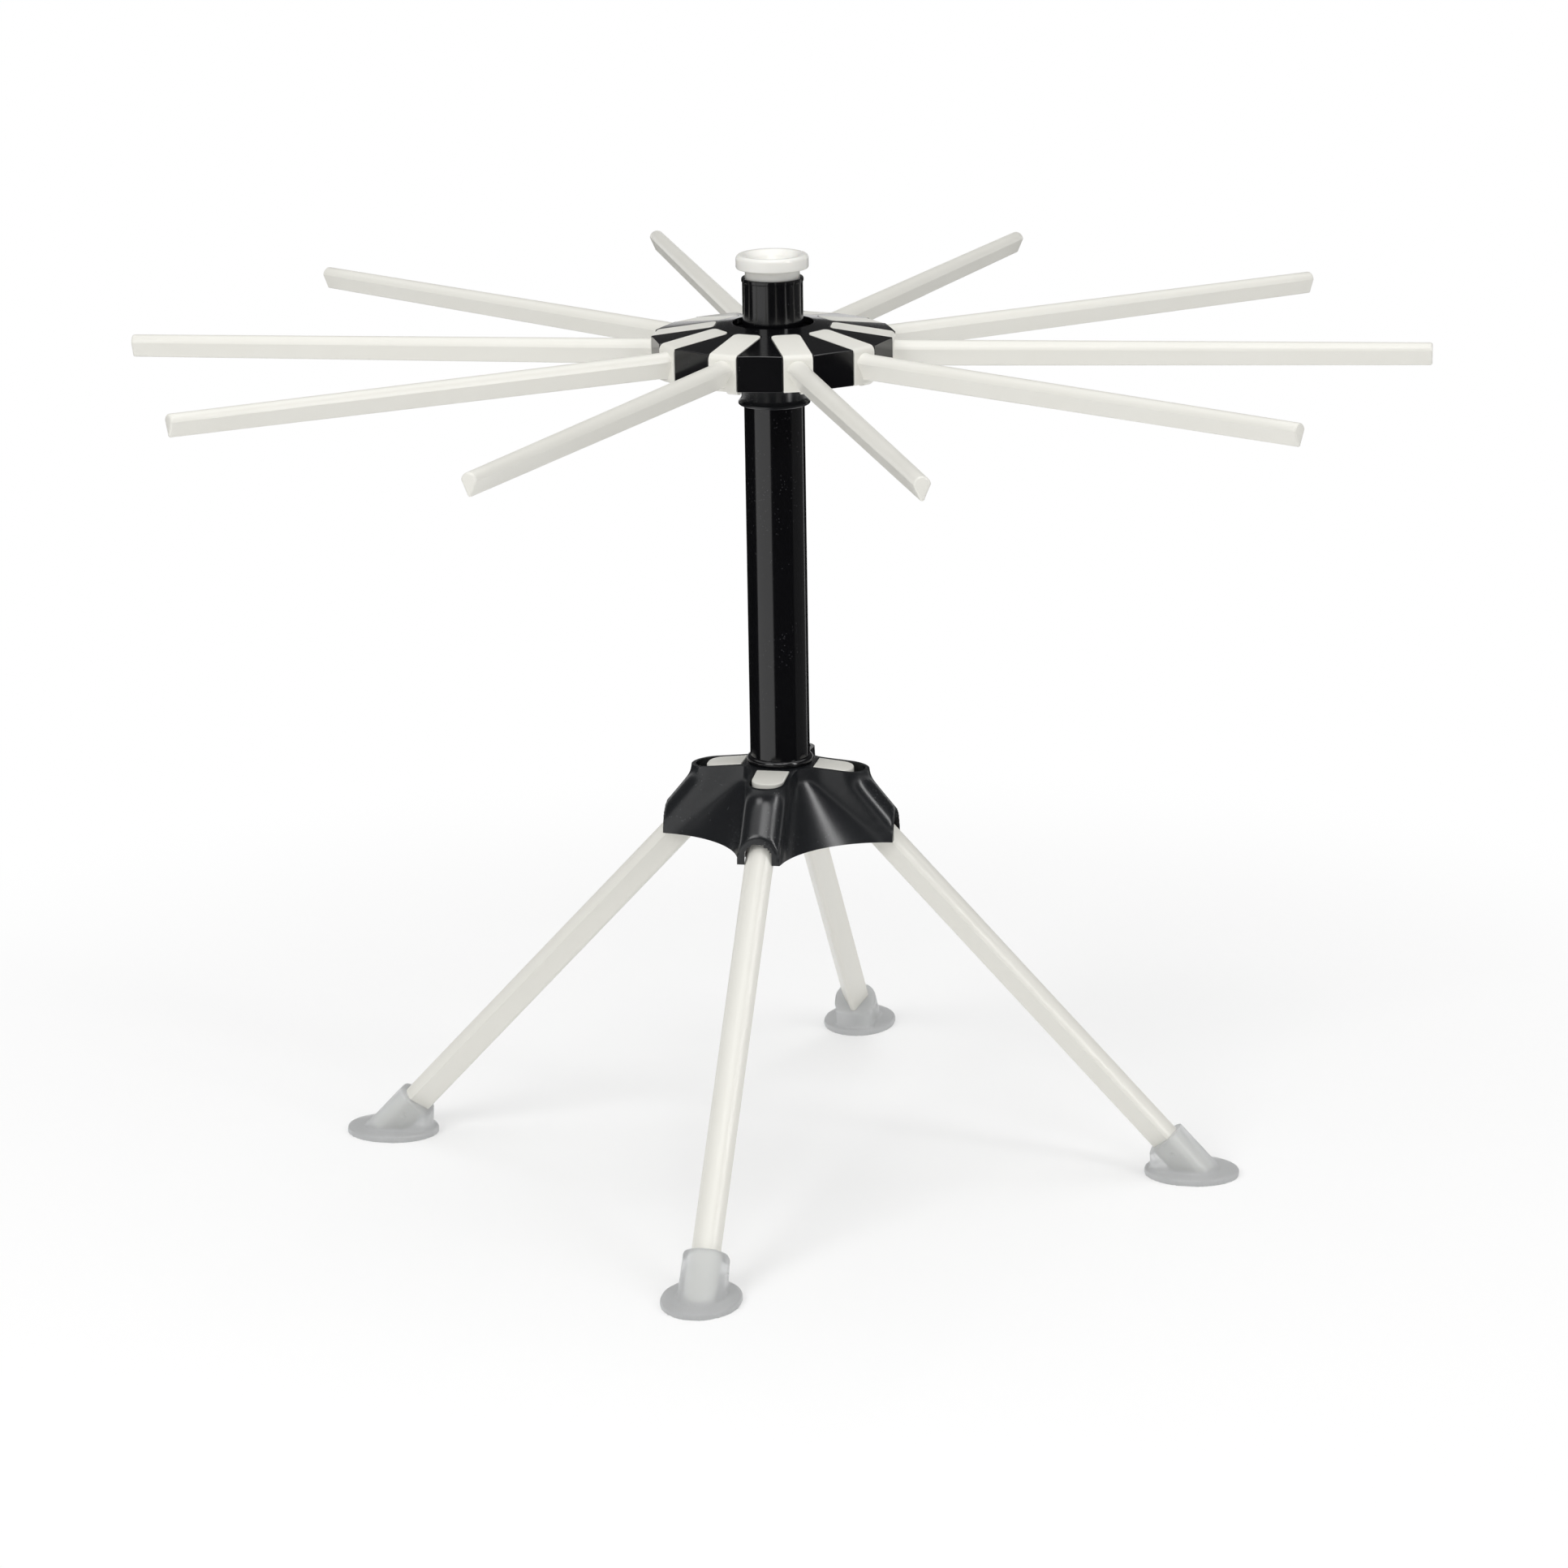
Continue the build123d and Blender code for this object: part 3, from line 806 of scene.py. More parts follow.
@dataclass
class Tube:
    """The upright with its lip, bead and flange, and the collar under the arm hub."""

    paint: Paintbox
    radius: float = 12.2
    bore: float = 10.8
    foot: float = 150.0
    top: float = 371.2
    mouth_radius: float = 11.3
    mouth_depth: float = 2.0
    bead_bottom: float = 170.5
    bead_reach: float = 1.6
    bead_height: float = 2.8
    lip_reach: float = 0.3
    lip_height: float = 1.4
    thrust_top: float = 350.4
    thrust_thickness: float = 2.0
    thrust_radius: float = 18.4
    collar_radius: float = 13.2
    flange_radius: float = 14.5
    collar_bottom: float = 319.9
    collar_top: float = 334.0
    flange_height: float = 1.2
    flare_height: float = 1.4
    fillet: float = 0.4
    thrust_edge: float = 0.3
    mouth_edge: float = 0.25
    mouth_bevel: float = 0.35
    flange_foot: float = 0.35
    flange_edge: float = 0.15
    flare_out: float = 0.45
    flare_knee: float = 0.7
    flare_over: float = 0.3

    def build(self) -> None:
        """Makes the tube and its collar and dresses the plug."""
        self.upright()
        self.collar()
        self.paint.coat_node("tube_plug", self.paint.satin_black)

    def upright(self) -> None:
        """Turns the tube with its bead, thrust flange and lipped mouth."""
        bead = arc(
            (self.radius, self.bead_bottom),
            (self.radius + self.bead_reach, self.bead_bottom + self.bead_height / 2),
            (self.radius, self.bead_bottom + self.bead_height),
            12,
        )
        low, high = self.thrust_top - self.thrust_thickness, self.thrust_top
        lip = self.radius + self.lip_reach
        outline = [
            (self.bore, self.foot),
            (self.radius, self.foot),
            *bead,
            (self.radius, low - self.fillet),
            (self.radius + self.fillet, low),
            (self.thrust_radius - self.thrust_edge, low),
            (self.thrust_radius, low + self.thrust_edge),
            (self.thrust_radius, high - self.thrust_edge),
            (self.thrust_radius - self.thrust_edge, high),
            (self.radius + self.fillet, high),
            (self.radius, high + self.fillet),
            (self.radius, self.top - self.lip_height - self.lip_reach),
            (lip, self.top - self.lip_height),
            (lip, self.top - self.mouth_edge),
            (lip - self.mouth_edge, self.top),
            (self.mouth_radius + self.mouth_edge, self.top),
            (self.mouth_radius, self.top - self.mouth_bevel),
            (self.mouth_radius, self.top - self.mouth_depth),
            (self.bore, self.top - self.mouth_depth),
        ]
        Piece(
            "tube_upright", self.paint.gloss_black, Body.STAND.value, Slot.BLACK_GLOSS, ["tube"]
        ).place(lathe(outline, 128, closed=True))

    def collar(self) -> None:
        """Turns the collar, which flares to a thin rim at its foot."""
        bottom, rim = self.collar_bottom, self.collar_bottom + self.flange_height
        outline = [
            (self.radius, bottom),
            (self.flange_radius - self.flange_foot, bottom),
            (self.flange_radius, bottom + self.flange_foot),
            (self.flange_radius, rim - self.flange_edge),
            (self.flange_radius - self.flange_edge, rim),
            (self.collar_radius + self.flare_out, rim + self.flare_height * self.flare_knee),
            (self.collar_radius, rim + self.flare_height + self.flare_over),
            (self.collar_radius, self.collar_top),
            (self.radius, self.collar_top),
        ]
        Piece(
            "collar_sleeve", self.paint.satin_black, Body.STAND.value, Slot.BLACK_SATIN,
            ["hub_collar"],
        ).place(lathe(outline, 96, closed=True))


@dataclass
class Screws:
    """Countersunk cross-head screws in a ring, heads down."""

    paint: Paintbox
    name: str
    node: str
    body: Body
    height: float
    circle: float
    count: int
    start: float
    radius: float
    head_radius: float
    length: float
    head_height: float = 1.2
    head_edge: float = 0.15
    pitch: float = 0.6
    root_at: float = 0.2
    crest_at: float = 0.5
    root_share: float = 0.86
    tip_share: float = 0.6
    recess_share: float = 0.62
    recess_width: float = 0.2
    recess_height: float = 1.4

    def build(self) -> None:
        """Turns one screw, cuts its recess and sets the ring."""
        outline = [
            (0, 0.0),
            (self.head_radius - self.head_edge, 0.0),
            (self.head_radius, self.head_edge),
            (self.radius, self.head_height),
        ]
        for turn in range(int((self.length - self.head_height) / self.pitch)):
            level = self.head_height + self.pitch * turn
            outline.append((self.radius * self.root_share, level + self.root_at))
            outline.append((self.radius, level + self.crest_at))
        outline.append((self.radius * self.tip_share, self.length))
        outline.append((0, self.length))
        reach = self.head_radius * self.recess_share
        blade = box((2 * reach, self.head_radius * self.recess_width, self.recess_height))
        crossing = around(blade, 90)
        screw = carved(lathe(outline, 32), carved(blade, crossing, Carve.JOIN))
        bmesh.ops.translate(screw, verts=screw.verts, vec=(self.circle, 0, self.height))
        Piece(
            self.name, self.paint.zinc, self.body.value, Slot.STEEL, [self.node], crease=40
        ).place(gathered(in_ring(screw, self.count, self.start)))


@dataclass
class ArmHead:
    """The ten-sided hub with its slots, wide hole and bearing sockets, and the cover under it."""

    paint: Paintbox
    offset: float = 4.85
    count: int = 10
    bottom: float = 334.0
    rim_top: float = 348.4
    crown: float = 353.1
    facet: float = 48.1
    hole: float = 16.4
    core: float = 20.0
    top_wall: float = 2.4
    slot_half: float = 6.2
    slot_start: float = 23.1
    slot_corner: float = 2.4
    socket_radius: float = 2.05
    socket_reach: float = 8.2
    pivot: Point2 = (45.0, 338.0)
    edge: float = 0.4
    spare: float = 2.0
    slot_beyond: float = 8.0
    slot_above: float = 6.0

    def top_at(self, radius: float) -> float:
        """Height of the hub's sloping top at a radius."""
        share = (self.facet - radius) / (self.facet - self.hole)
        return self.rim_top + (self.crown - self.rim_top) * share

    def build(self) -> None:
        """Turns the hub, cuts its facets, slots and sockets, and dresses the cover."""
        beyond = self.facet / cos(pi / self.count) + self.spare
        outline = [
            (self.hole, self.crown),
            (beyond, self.top_at(beyond)),
            (beyond, self.bottom),
            (self.core, self.bottom),
            (self.core, self.crown - self.top_wall),
            (self.hole, self.crown - self.top_wall),
        ]
        hub = around(lathe(outline, 120, closed=True), self.offset)
        for number in range(self.count):
            angle = radians(self.offset + 360 / self.count * (number + 0.5))
            outwards = Vector((cos(angle), sin(angle), 0))
            trimmed(hub, outwards * self.facet, outwards)
        tidy(hub)
        sockets = cross_bar(self.socket_radius, self.socket_reach, self.pivot)
        for cutter in (self.slot(), sockets):
            hub = carved(hub, gathered(in_ring(cutter, self.count, self.offset)))
        Piece(
            "arm_hub_shell", self.paint.gloss_black, Body.ARM_HEAD.value, Slot.BLACK_GLOSS,
            ["arm_hub"], edge=self.edge, edge_spans=3,
        ).place(hub)
        self.paint.coat_node("arm_hub_cover", self.paint.satin_black)

    def slot(self) -> Mesh:
        """Cutter for an arm's slot, with rounded inner corners.

        Returns:
            The cutter.
        """
        end = self.facet + self.slot_beyond
        cutter = box(
            (end - self.slot_start, 2 * self.slot_half, self.crown - self.bottom + self.slot_above),
            ((end + self.slot_start) / 2, 0, (self.crown + self.bottom) / 2),
        )
        soften(cutter, standing_at(self.slot_start), self.slot_corner, 8)
        return cutter


@dataclass
class Arms:
    """Ten arms, each a block, a pad, a tapering rod, a knuckle and two stubs."""

    paint: Paintbox
    head: ArmHead
    half_width: float = 5.9
    start: float = 23.4
    corner: float = 2.4
    floor: float = 335.6
    bottom: float = 334.0
    pad_start: float = 39.5
    pad_face: float = 48.8
    pad_round: float = 2.2
    reach: float = 262.2
    root_size: Point3 = (8.6, 346.0, 335.5)
    tip_size: Point3 = (6.6, 346.2, 337.1)
    tip_round: float = 0.9
    stub_radius: float = 2.0
    stub_reach: float = 7.9
    knuckle_radius: float = 3.2
    knuckle_place: Point2 = (45.3, 335.6)
    knuckle_start: float = 1.3
    flares: Sequence[Point2] = ((-1.5, 1.06), (0.0, 1.06), (0.5, 1.03))
    straight_start: float = 1.6
    under_pad: float = 0.3
    over_foot: float = 0.1
    round_above: float = 5.0
    rod_spans: int = 14

    def build(self) -> None:
        """Makes one arm and sets ten copies round the hub."""
        arm = self.block()
        stubs = cross_bar(self.stub_radius, self.stub_reach, self.head.pivot)
        for part in (self.rod(), self.knuckle(), stubs):
            arm = carved(arm, part, Carve.JOIN)
        for number, copy in enumerate(in_ring(arm, self.head.count, self.head.offset)):
            name = f"arm_{number}"
            Piece(
                f"{name}_moulding", self.paint.ivory, name, Slot.IVORY, [name], edge=0.3, crease=30
            ).place(copy)

    def block(self) -> Mesh:
        """The block that sits flush in the slot, with the pad at its outer end.

        Returns:
            The block's mesh.
        """
        mesh = upright(
            [
                (self.start, self.floor),
                (self.pad_start, self.floor),
                (self.pad_start, self.bottom),
                (self.pad_face, self.bottom),
                (self.pad_face, self.head.top_at(self.pad_face)),
                (self.start, self.head.top_at(self.start)),
            ],
            self.half_width,
        )
        soften(mesh, standing_at(self.start), self.corner, 8)
        soften(
            mesh,
            lambda edge: all(
                vert.co.x > self.pad_face - NEAR and vert.co.z > self.bottom + self.round_above
                for vert in edge.verts
            ),
            self.pad_round, 6,
        )
        return mesh

    def rod(self) -> Mesh:
        """The rod, flared a little where it leaves the pad and rounded at its tip.

        Returns:
            The rod's mesh.
        """
        straight = self.pad_face + self.straight_start
        pad_top = self.head.top_at(self.pad_face)
        stations = [(self.pad_face + out, flare) for out, flare in self.flares] + [
            (straight + (self.reach - straight) * step / self.rod_spans, 1.0)
            for step in range(self.rod_spans + 1)
        ]
        rings = []
        for radius, flare in stations:
            share = (radius - self.pad_face) / (self.reach - self.pad_face)
            width, top, bottom = (
                root + (tip - root) * share for root, tip in zip(self.root_size, self.tip_size)
            )
            middle = (top + bottom) / 2
            high = min(middle + (top - middle) * flare, pad_top - self.under_pad)
            low = max(middle + (bottom - middle) * flare, self.bottom + self.over_foot)
            section = bar_outline(width * flare, high, low)
            rings.append([Vector((radius, side, height)) for side, height in section])
        mesh = skin(rings)
        soften(
            mesh, lambda edge: all(vert.co.x > self.reach - NEAR for vert in edge.verts),
            self.tip_round,
        )
        return mesh

    def knuckle(self) -> Mesh:
        """The half-round knuckle under the pad, on one side."""
        radius, height = self.knuckle_place
        return rod(
            self.knuckle_radius, Vector((radius, self.knuckle_start, height)),
            Vector((radius, self.half_width, height)), 40,
        )


@dataclass
class LegHub:
    """The foot casting: webs drawn in between four ridged lobes, with a slot for each leg."""

    paint: Paintbox
    bottom: float = 140.0
    rim: float = 168.3
    crown: float = 170.5
    lobe_end: float = 36.9
    lobe_half: float = 8.8
    lip_drop: float = 4.0
    lip_run: float = 0.5
    lip_bend: float = 1.6
    mouth_height: float = 151.6
    mouth: float = 48.0
    web_top: float = 15.8
    web_bottom: float = 30.0
    blend: float = 2.2
    wall: float = 1.8
    lobe_wall: float = 2.6
    slot_half: float = 7.1
    slot_end: float = 35.3
    socket: float = 14.6
    seat: float = 150.0
    tube_radius: float = 12.2
    floor: float = 143.0
    first_share: float = 0.02
    over: float = 0.4
    cone_above: float = 9.0
    cone_reach: float = 70.0
    seat_above: float = 4.0
    slot_height: float = 30.0
    slot_gap: float = 0.4
    spans: int = 384
    rows: int = 26

    def top_at(self, radius: float) -> float:
        """Height of the hub's gently sloping top at a radius."""
        share = (self.lobe_end - radius) / (self.lobe_end - self.socket)
        return self.rim + (self.crown - self.rim) * share

    def outline_at(self, angle: float, height: float, inset: float) -> float:
        """Radius of the hub's side in a direction.

        Args:
            angle: Direction in radians, from leg 0.
            height: Height of the place.
            inset: How far inside the outer side the wanted surface lies.

        Returns:
            The radius.
        """
        quarter = (angle + pi / 4) % (pi / 2) - pi / 4
        half = self.lobe_half - inset * self.lobe_wall / self.wall
        neck = self.rim - self.lip_drop
        steep = (self.mouth - self.lobe_end - self.lip_run) / (neck - self.mouth_height)
        drop = neck - height
        spread = (drop + sqrt(drop**2 + self.lip_bend**2)) / 2
        lip = self.lip_run * min(max((self.rim - height) / self.lip_drop, 0.0), 1.0)
        reach = self.lobe_end + lip + steep * spread - inset
        later = (1 - self.first_share) * spread / (neck - self.bottom)
        share = max(0.0, self.first_share + later)
        centre = reach - half
        side = abs(sin(quarter))
        lobe = half / max(side, TINY)
        if lobe * cos(quarter) > centre:
            lobe = centre * cos(quarter) + sqrt(max(half**2 - (centre * side) ** 2, 0))
        corner = self.web_top + self.lobe_half
        along = corner + (self.mouth - corner) * share - inset
        hollow = self.web_top + (self.web_bottom - self.web_top) * share - inset
        across = pi / 4 - abs(quarter)
        tip_angle = pi / 4 - atan2(half, along)
        tip_x, tip_y = hypot(along, half) * cos(tip_angle), hypot(along, half) * sin(tip_angle)
        far = (tip_x**2 + tip_y**2 - hollow**2) / (2 * (tip_x - hollow))
        bend = far - hollow
        web = far * cos(across) - sqrt(max(bend**2 - (far * sin(across)) ** 2, 0))
        if across > tip_angle:
            web = 0.0
        gap = abs(lobe - web)
        radius = max(lobe, web)
        if gap < self.blend:
            radius += (self.blend - gap) ** 2 / (4 * self.blend)
        return min(radius, self.mouth / cos(quarter))

    def shell(self, inset: float, low: float, high: float) -> Mesh:
        """A closed solid with the hub's side, flat at both ends.

        Args:
            inset: How far inside the outer side it lies.
            low: Height of its bottom.
            high: Height of its top.

        Returns:
            The solid.
        """
        mesh = bmesh.new()
        ring = bmesh.ops.create_circle(mesh, segments=self.spans, radius=1.0)["verts"]
        edges = list({edge for vert in ring for edge in vert.link_edges})
        first = edges
        levels = [ring]
        for _ in range(self.rows):
            grown = bmesh.ops.extrude_edge_only(mesh, edges=edges)["geom"]
            edges = [
                item for item in grown
                if isinstance(item, Edge) and not any(vert in levels[-1] for vert in item.verts)
            ]
            levels.append([item for item in grown if isinstance(item, bmesh.types.BMVert)])
        for row, verts in enumerate(levels):
            height = low + (high - low) * row / self.rows
            for vert in verts:
                angle = atan2(vert.co.y, vert.co.x)
                radius = self.outline_at(angle, height, inset)
                vert.co = (radius * cos(angle), radius * sin(angle), height)
        for loop in (first, edges):
            bmesh.ops.contextual_create(mesh, geom=loop)
        bmesh.ops.recalc_face_normals(mesh, faces=mesh.faces)
        return mesh

    def build(self) -> None:
        """Shapes the casting, hollows it, cuts the slots and dresses the base."""
        body = self.shell(0.0, self.bottom, self.crown + self.over)
        above, beyond = self.crown + self.cone_above, self.cone_reach
        cone = lathe(
            [(0, above), (0, self.top_at(0)), (beyond, self.top_at(beyond)), (beyond, above)], 160
        )
        body = carved(body, cone)
        body = carved(body, self.hollow())
        seat_top = Vector((0, 0, self.crown + self.seat_above))
        body = carved(body, rod(self.tube_radius, Vector((0, 0, self.seat)), seat_top, 96))
        Piece(
            "leg_hub_casting", self.paint.satin_black, Body.STAND.value, Slot.BLACK_SATIN,
            ["leg_hub"], edge=0.7, edge_spans=4, crease=40,
        ).place(body)
        self.paint.coat_node("leg_hub_base", self.paint.satin_black)

    def hollow(self) -> Mesh:
        """What is empty inside the casting, with the legs' slots through its top.

        Returns:
            The cutter.
        """
        core = self.shell(self.wall, self.bottom - 1, self.rim - self.wall)
        post_foot = Vector((0, 0, self.bottom - self.seat_above))
        core = carved(core, rod(self.socket, post_foot, Vector((0, 0, self.crown)), 96))
        slot = box(
            (self.slot_end - self.socket, 2 * self.slot_half, self.slot_height),
            ((self.slot_end + self.socket) / 2, 0, self.floor + self.slot_height / 2),
        )
        soften(slot, standing_at(self.slot_end), self.slot_half - self.slot_gap, 10)
        return carved(core, gathered(in_ring(slot, LEG_COUNT)), Carve.JOIN)


@dataclass
class Legs:
    """Four legs, each a bar with a tile-shaped head, and the feet they stand in."""

    paint: Paintbox
    hub: LegHub
    slope: float = 47.15
    width: float = 11.8
    depth: float = 12.4
    head_half: float = 6.8
    head_start: float = 14.9
    head_end: float = 30.4
    head_corner: float = 5.5
    head_edge: float = 0.6
    pivot_radius: float = 24.0
    pivot_height: float = 160.73
    stub_radius: float = 2.0
    stub_reach: float = 8.0
    end_height: float = 3.0
    sole_half_length: float = 19.6
    sole_half_width: float = 15.9
    sole_rim: float = 2.7
    foot_centre: float = 170.6
    sleeve_width: float = 18.4
    sleeve_depth: float = 17.0
    sleeve_corner: float = 7.6
    sleeve_start: float = 159.3
    heel_start: float = 153.5
    heel_height: float = 9.2
    heel_half: float = 8.25
    heel_round: float = 6.5
    dimple_radius: float = 2.2
    dimple_depth: float = 0.6
    dimple_from_rim: float = 6.0
    dimple_sink: float = 0.1
    leg_gap: float = 0.05
    voxel: float = 0.55
    smoothing: int = 5

    def line_at(self, radius: float, offset: float = 0.0) -> float:
        """Height of the leg's middle line at a radius, or of a line beside it."""
        slope = radians(self.slope)
        return self.pivot_height - (radius - self.pivot_radius) * tan(slope) + offset / cos(slope)

    def section(self, radius: float, points: Sequence[Point2]) -> list[Vector]:
        """Sets a section square to the leg.

        Args:
            radius: Where the leg's middle line is cut.
            points: Sideways place and height in the section.

        Returns:
            The corners in space.
        """
        slope = radians(self.slope)
        raised = Vector((sin(slope), 0, cos(slope)))
        middle = Vector((radius, 0, self.line_at(radius)))
        return [middle + Vector((0, side, 0)) + raised * height for side, height in points]

    def bar(self, grow: float = 0.0) -> Mesh:
        """The leg's bar, cut level inside the foot.

        Args:
            grow: How much larger than the bar it is, for the hole in the foot.

        Returns:
            The bar's mesh.
        """
        outline = bar_outline(self.width + 2 * grow, self.depth / 2 + grow, -self.depth / 2 - grow)
        slope = radians(self.slope)
        length = (self.pivot_height + self.depth) / sin(slope)
        down = Vector((cos(slope), 0, -sin(slope)))
        mesh = prism(self.section(self.pivot_radius, outline), down * length)
        trimmed(mesh, (0, 0, self.end_height - grow), (0, 0, -1))
        return tidy(mesh)

    def head(self) -> Mesh:
        """The head, whose top is a tile flush with the hub.

        Returns:
            The head's mesh.
        """
        mesh = upright(
            [
                (self.head_start, self.hub.top_at(self.head_start)),
                (self.head_end, self.hub.top_at(self.head_end)),
                (self.head_end, self.line_at(self.head_end)),
                (self.pivot_radius, self.line_at(self.pivot_radius, -self.depth / 2)),
                (self.head_start, self.line_at(self.head_start, -self.depth / 2)),
            ],
            self.head_half,
        )
        soften(mesh, standing_at(self.head_end), self.head_corner, 8)
        top = self.hub.top_at(self.head_end) - NEAR
        soften(mesh, lambda edge: all(vert.co.z > top for vert in edge.verts), self.head_edge, 3)
        return mesh

    def build(self) -> None:
        """Makes one leg and one foot and sets four copies of each."""
        leg = carved(self.head(), self.bar(), Carve.JOIN)
        pivot = (self.pivot_radius, self.pivot_height)
        leg = carved(leg, cross_bar(self.stub_radius, self.stub_reach, pivot), Carve.JOIN)
        legs, feet = in_ring(leg, LEG_COUNT), in_ring(self.foot(), LEG_COUNT)
        for number, (bar, boot) in enumerate(zip(legs, feet)):
            name = f"leg_{number}"
            Piece(
                f"{name}_moulding", self.paint.ivory, name, Slot.IVORY, [name], edge=0.3, crease=38
            ).place(bar)
            Piece(
                f"foot_{number}_boot", self.paint.clear_rubber, name, Slot.CLEAR_GREY,
                [f"foot_{number}"], crease=60,
            ).place(boot)

    def foot(self) -> Mesh:
        """The soft boot: an oval sole, a sleeve and a heel, melted together.

        Returns:
            The boot's mesh, with the hole for the leg.
        """
        sole = rod(1.0, Vector((0, 0, 0)), Vector((0, 0, self.sole_rim)), 96)
        oval = (self.sole_half_length, self.sole_half_width, 1.0)
        bmesh.ops.scale(sole, verts=sole.verts, vec=oval)
        bmesh.ops.translate(sole, verts=sole.verts, vec=(self.foot_centre, 0, 0))
        slope = radians(self.slope)
        half, tall = self.sleeve_width / 2, self.sleeve_depth / 2
        corners = [(-half, -tall), (half, -tall), (half, tall), (-half, tall)]
        length = (self.line_at(self.sleeve_start) + self.sleeve_depth) / sin(slope)
        down = Vector((cos(slope), 0, -sin(slope)))
        sleeve = prism(self.section(self.sleeve_start, corners), down * length)
        soften(
            sleeve,
            lambda edge: abs(
                (edge.verts[0].co - edge.verts[1].co).normalized().dot(down)
            ) > 0.99,
            self.sleeve_corner, 8,
        )
        back = self.sleeve_depth / 3
        rim = self.sleeve_start
        heel = upright(
            [
                (self.heel_start, 0),
                (self.heel_start, self.heel_height),
                (rim - back * sin(slope), self.line_at(rim) - back * cos(slope)),
                (self.foot_centre, 0),
            ],
            self.heel_half,
        )
        soften(heel, standing_at(self.heel_start), self.heel_round, 8)
        boot = carved(carved(sole, sleeve, Carve.JOIN), heel, Carve.JOIN)
        bmesh.ops.triangulate(boot, faces=boot.faces)
        trimmed(boot, (0, 0, 0), (0, 0, -1))
        boot = self.melted(boot)
        boot = carved(boot, self.bar(self.leg_gap))
        dimple_at = self.sleeve_start + self.dimple_from_rim * cos(slope)
        aside = half + self.dimple_radius - self.dimple_depth - self.dimple_sink
        pits = []
        for side in (-1, 1):
            pit = bmesh.new()
            bmesh.ops.create_icosphere(pit, subdivisions=3, radius=self.dimple_radius)
            place = (dimple_at, side * aside, self.line_at(dimple_at))
            bmesh.ops.translate(pit, verts=pit.verts, vec=place)
            pits.append(pit)
        return carved(boot, gathered(pits))

    def melted(self, boot: Mesh) -> Mesh:
        """Rebuilds the boot as one even skin and smooths its joins.

        Args:
            boot: The hard-edged boot, used up.

        Returns:
            The soft boot, flat underneath.
        """
        item = linked("boot", boot)
        remesh = item.modifiers.new("melt", "REMESH")
        remesh.mode = "VOXEL"
        remesh.voxel_size = self.voxel
        soft = worked([item])
        for _ in range(self.smoothing):
            free = [vert for vert in soft.verts if vert.co.z > self.voxel]
            bmesh.ops.smooth_vert(
                soft, verts=free, factor=0.5, use_axis_x=True, use_axis_y=True, use_axis_z=True
            )
        for vert in soft.verts:
            if vert.co.z < self.voxel:
                vert.co.z = max(vert.co.z, 0.0)
        return soft


@dataclass
class Wand:
    """The lifting wand: a dished knob whose neck stands in the tube's mouth, and its rod."""

    paint: Paintbox
    plug_bottom: float = 359.2
    plug_radius: float = 10.5
    step: float = 369.2
    neck: float = 11.0
    under: float = 374.9
    top: float = 380.5
    radius: float = 14.6
    top_round: float = 1.6
    foot_round: float = 0.7
    rim: float = 2.4
    dish_edge: float = 9.2
    dish_slope: float = 1.6
    dish_floor: float = 7.8
    dish: float = 4.4
    rod_radius: float = 5.0
    rod_seat: float = 365.2
    fillet: float = 0.4
    step_edge: Point2 = (0.15, 0.2)

    def build(self) -> None:
        """Turns the knob and dresses the rod."""
        side = self.radius
        foot_top, brow_end = self.under + self.foot_round, self.top - self.top_round
        foot = rounded((side - self.foot_round, self.under), (side, foot_top), self.foot_round, 5)
        brow = rounded((side, brow_end), (side - self.top_round, self.top), self.top_round, 8)
        outline = [
            (0, self.rod_seat),
            (self.rod_radius, self.rod_seat),
            (self.rod_radius, self.plug_bottom),
            (self.plug_radius - self.fillet, self.plug_bottom),
            (self.plug_radius, self.plug_bottom + self.fillet),
            (self.plug_radius, self.step),
            (self.neck - self.step_edge[0], self.step),
            (self.neck, self.step + self.step_edge[1]),
            (self.neck, self.under - self.fillet),
            (self.neck + self.fillet, self.under),
            *foot,
            *brow,
            # The rim rolls over into the dish, whose wall falls in small steps to its floor.
            (side - self.rim - 0.3, self.top - 0.06),
            (side - self.rim - 1.1, self.top - 0.32),
            (self.dish_edge + 0.6, self.top - self.dish_slope + 0.1),
            (self.dish_edge - 0.1, self.top - self.dish_slope - 0.4),
            (self.dish_edge - 0.45, self.top - self.dish_slope - 1.0),
            (self.dish_floor + 0.3, self.top - self.dish + 0.5),
            (self.dish_floor - 0.5, self.top - self.dish),
            (0, self.top - self.dish),
        ]
        Piece(
            "wand_knob_cap", self.paint.knob_white, Body.WAND.value, Slot.WHITE_GLOSS,
            ["wand_knob"], crease=50,
        ).place(lathe(outline, 128))
        self.paint.coat_node("wand_rod", self.paint.knob_white)


# The studio


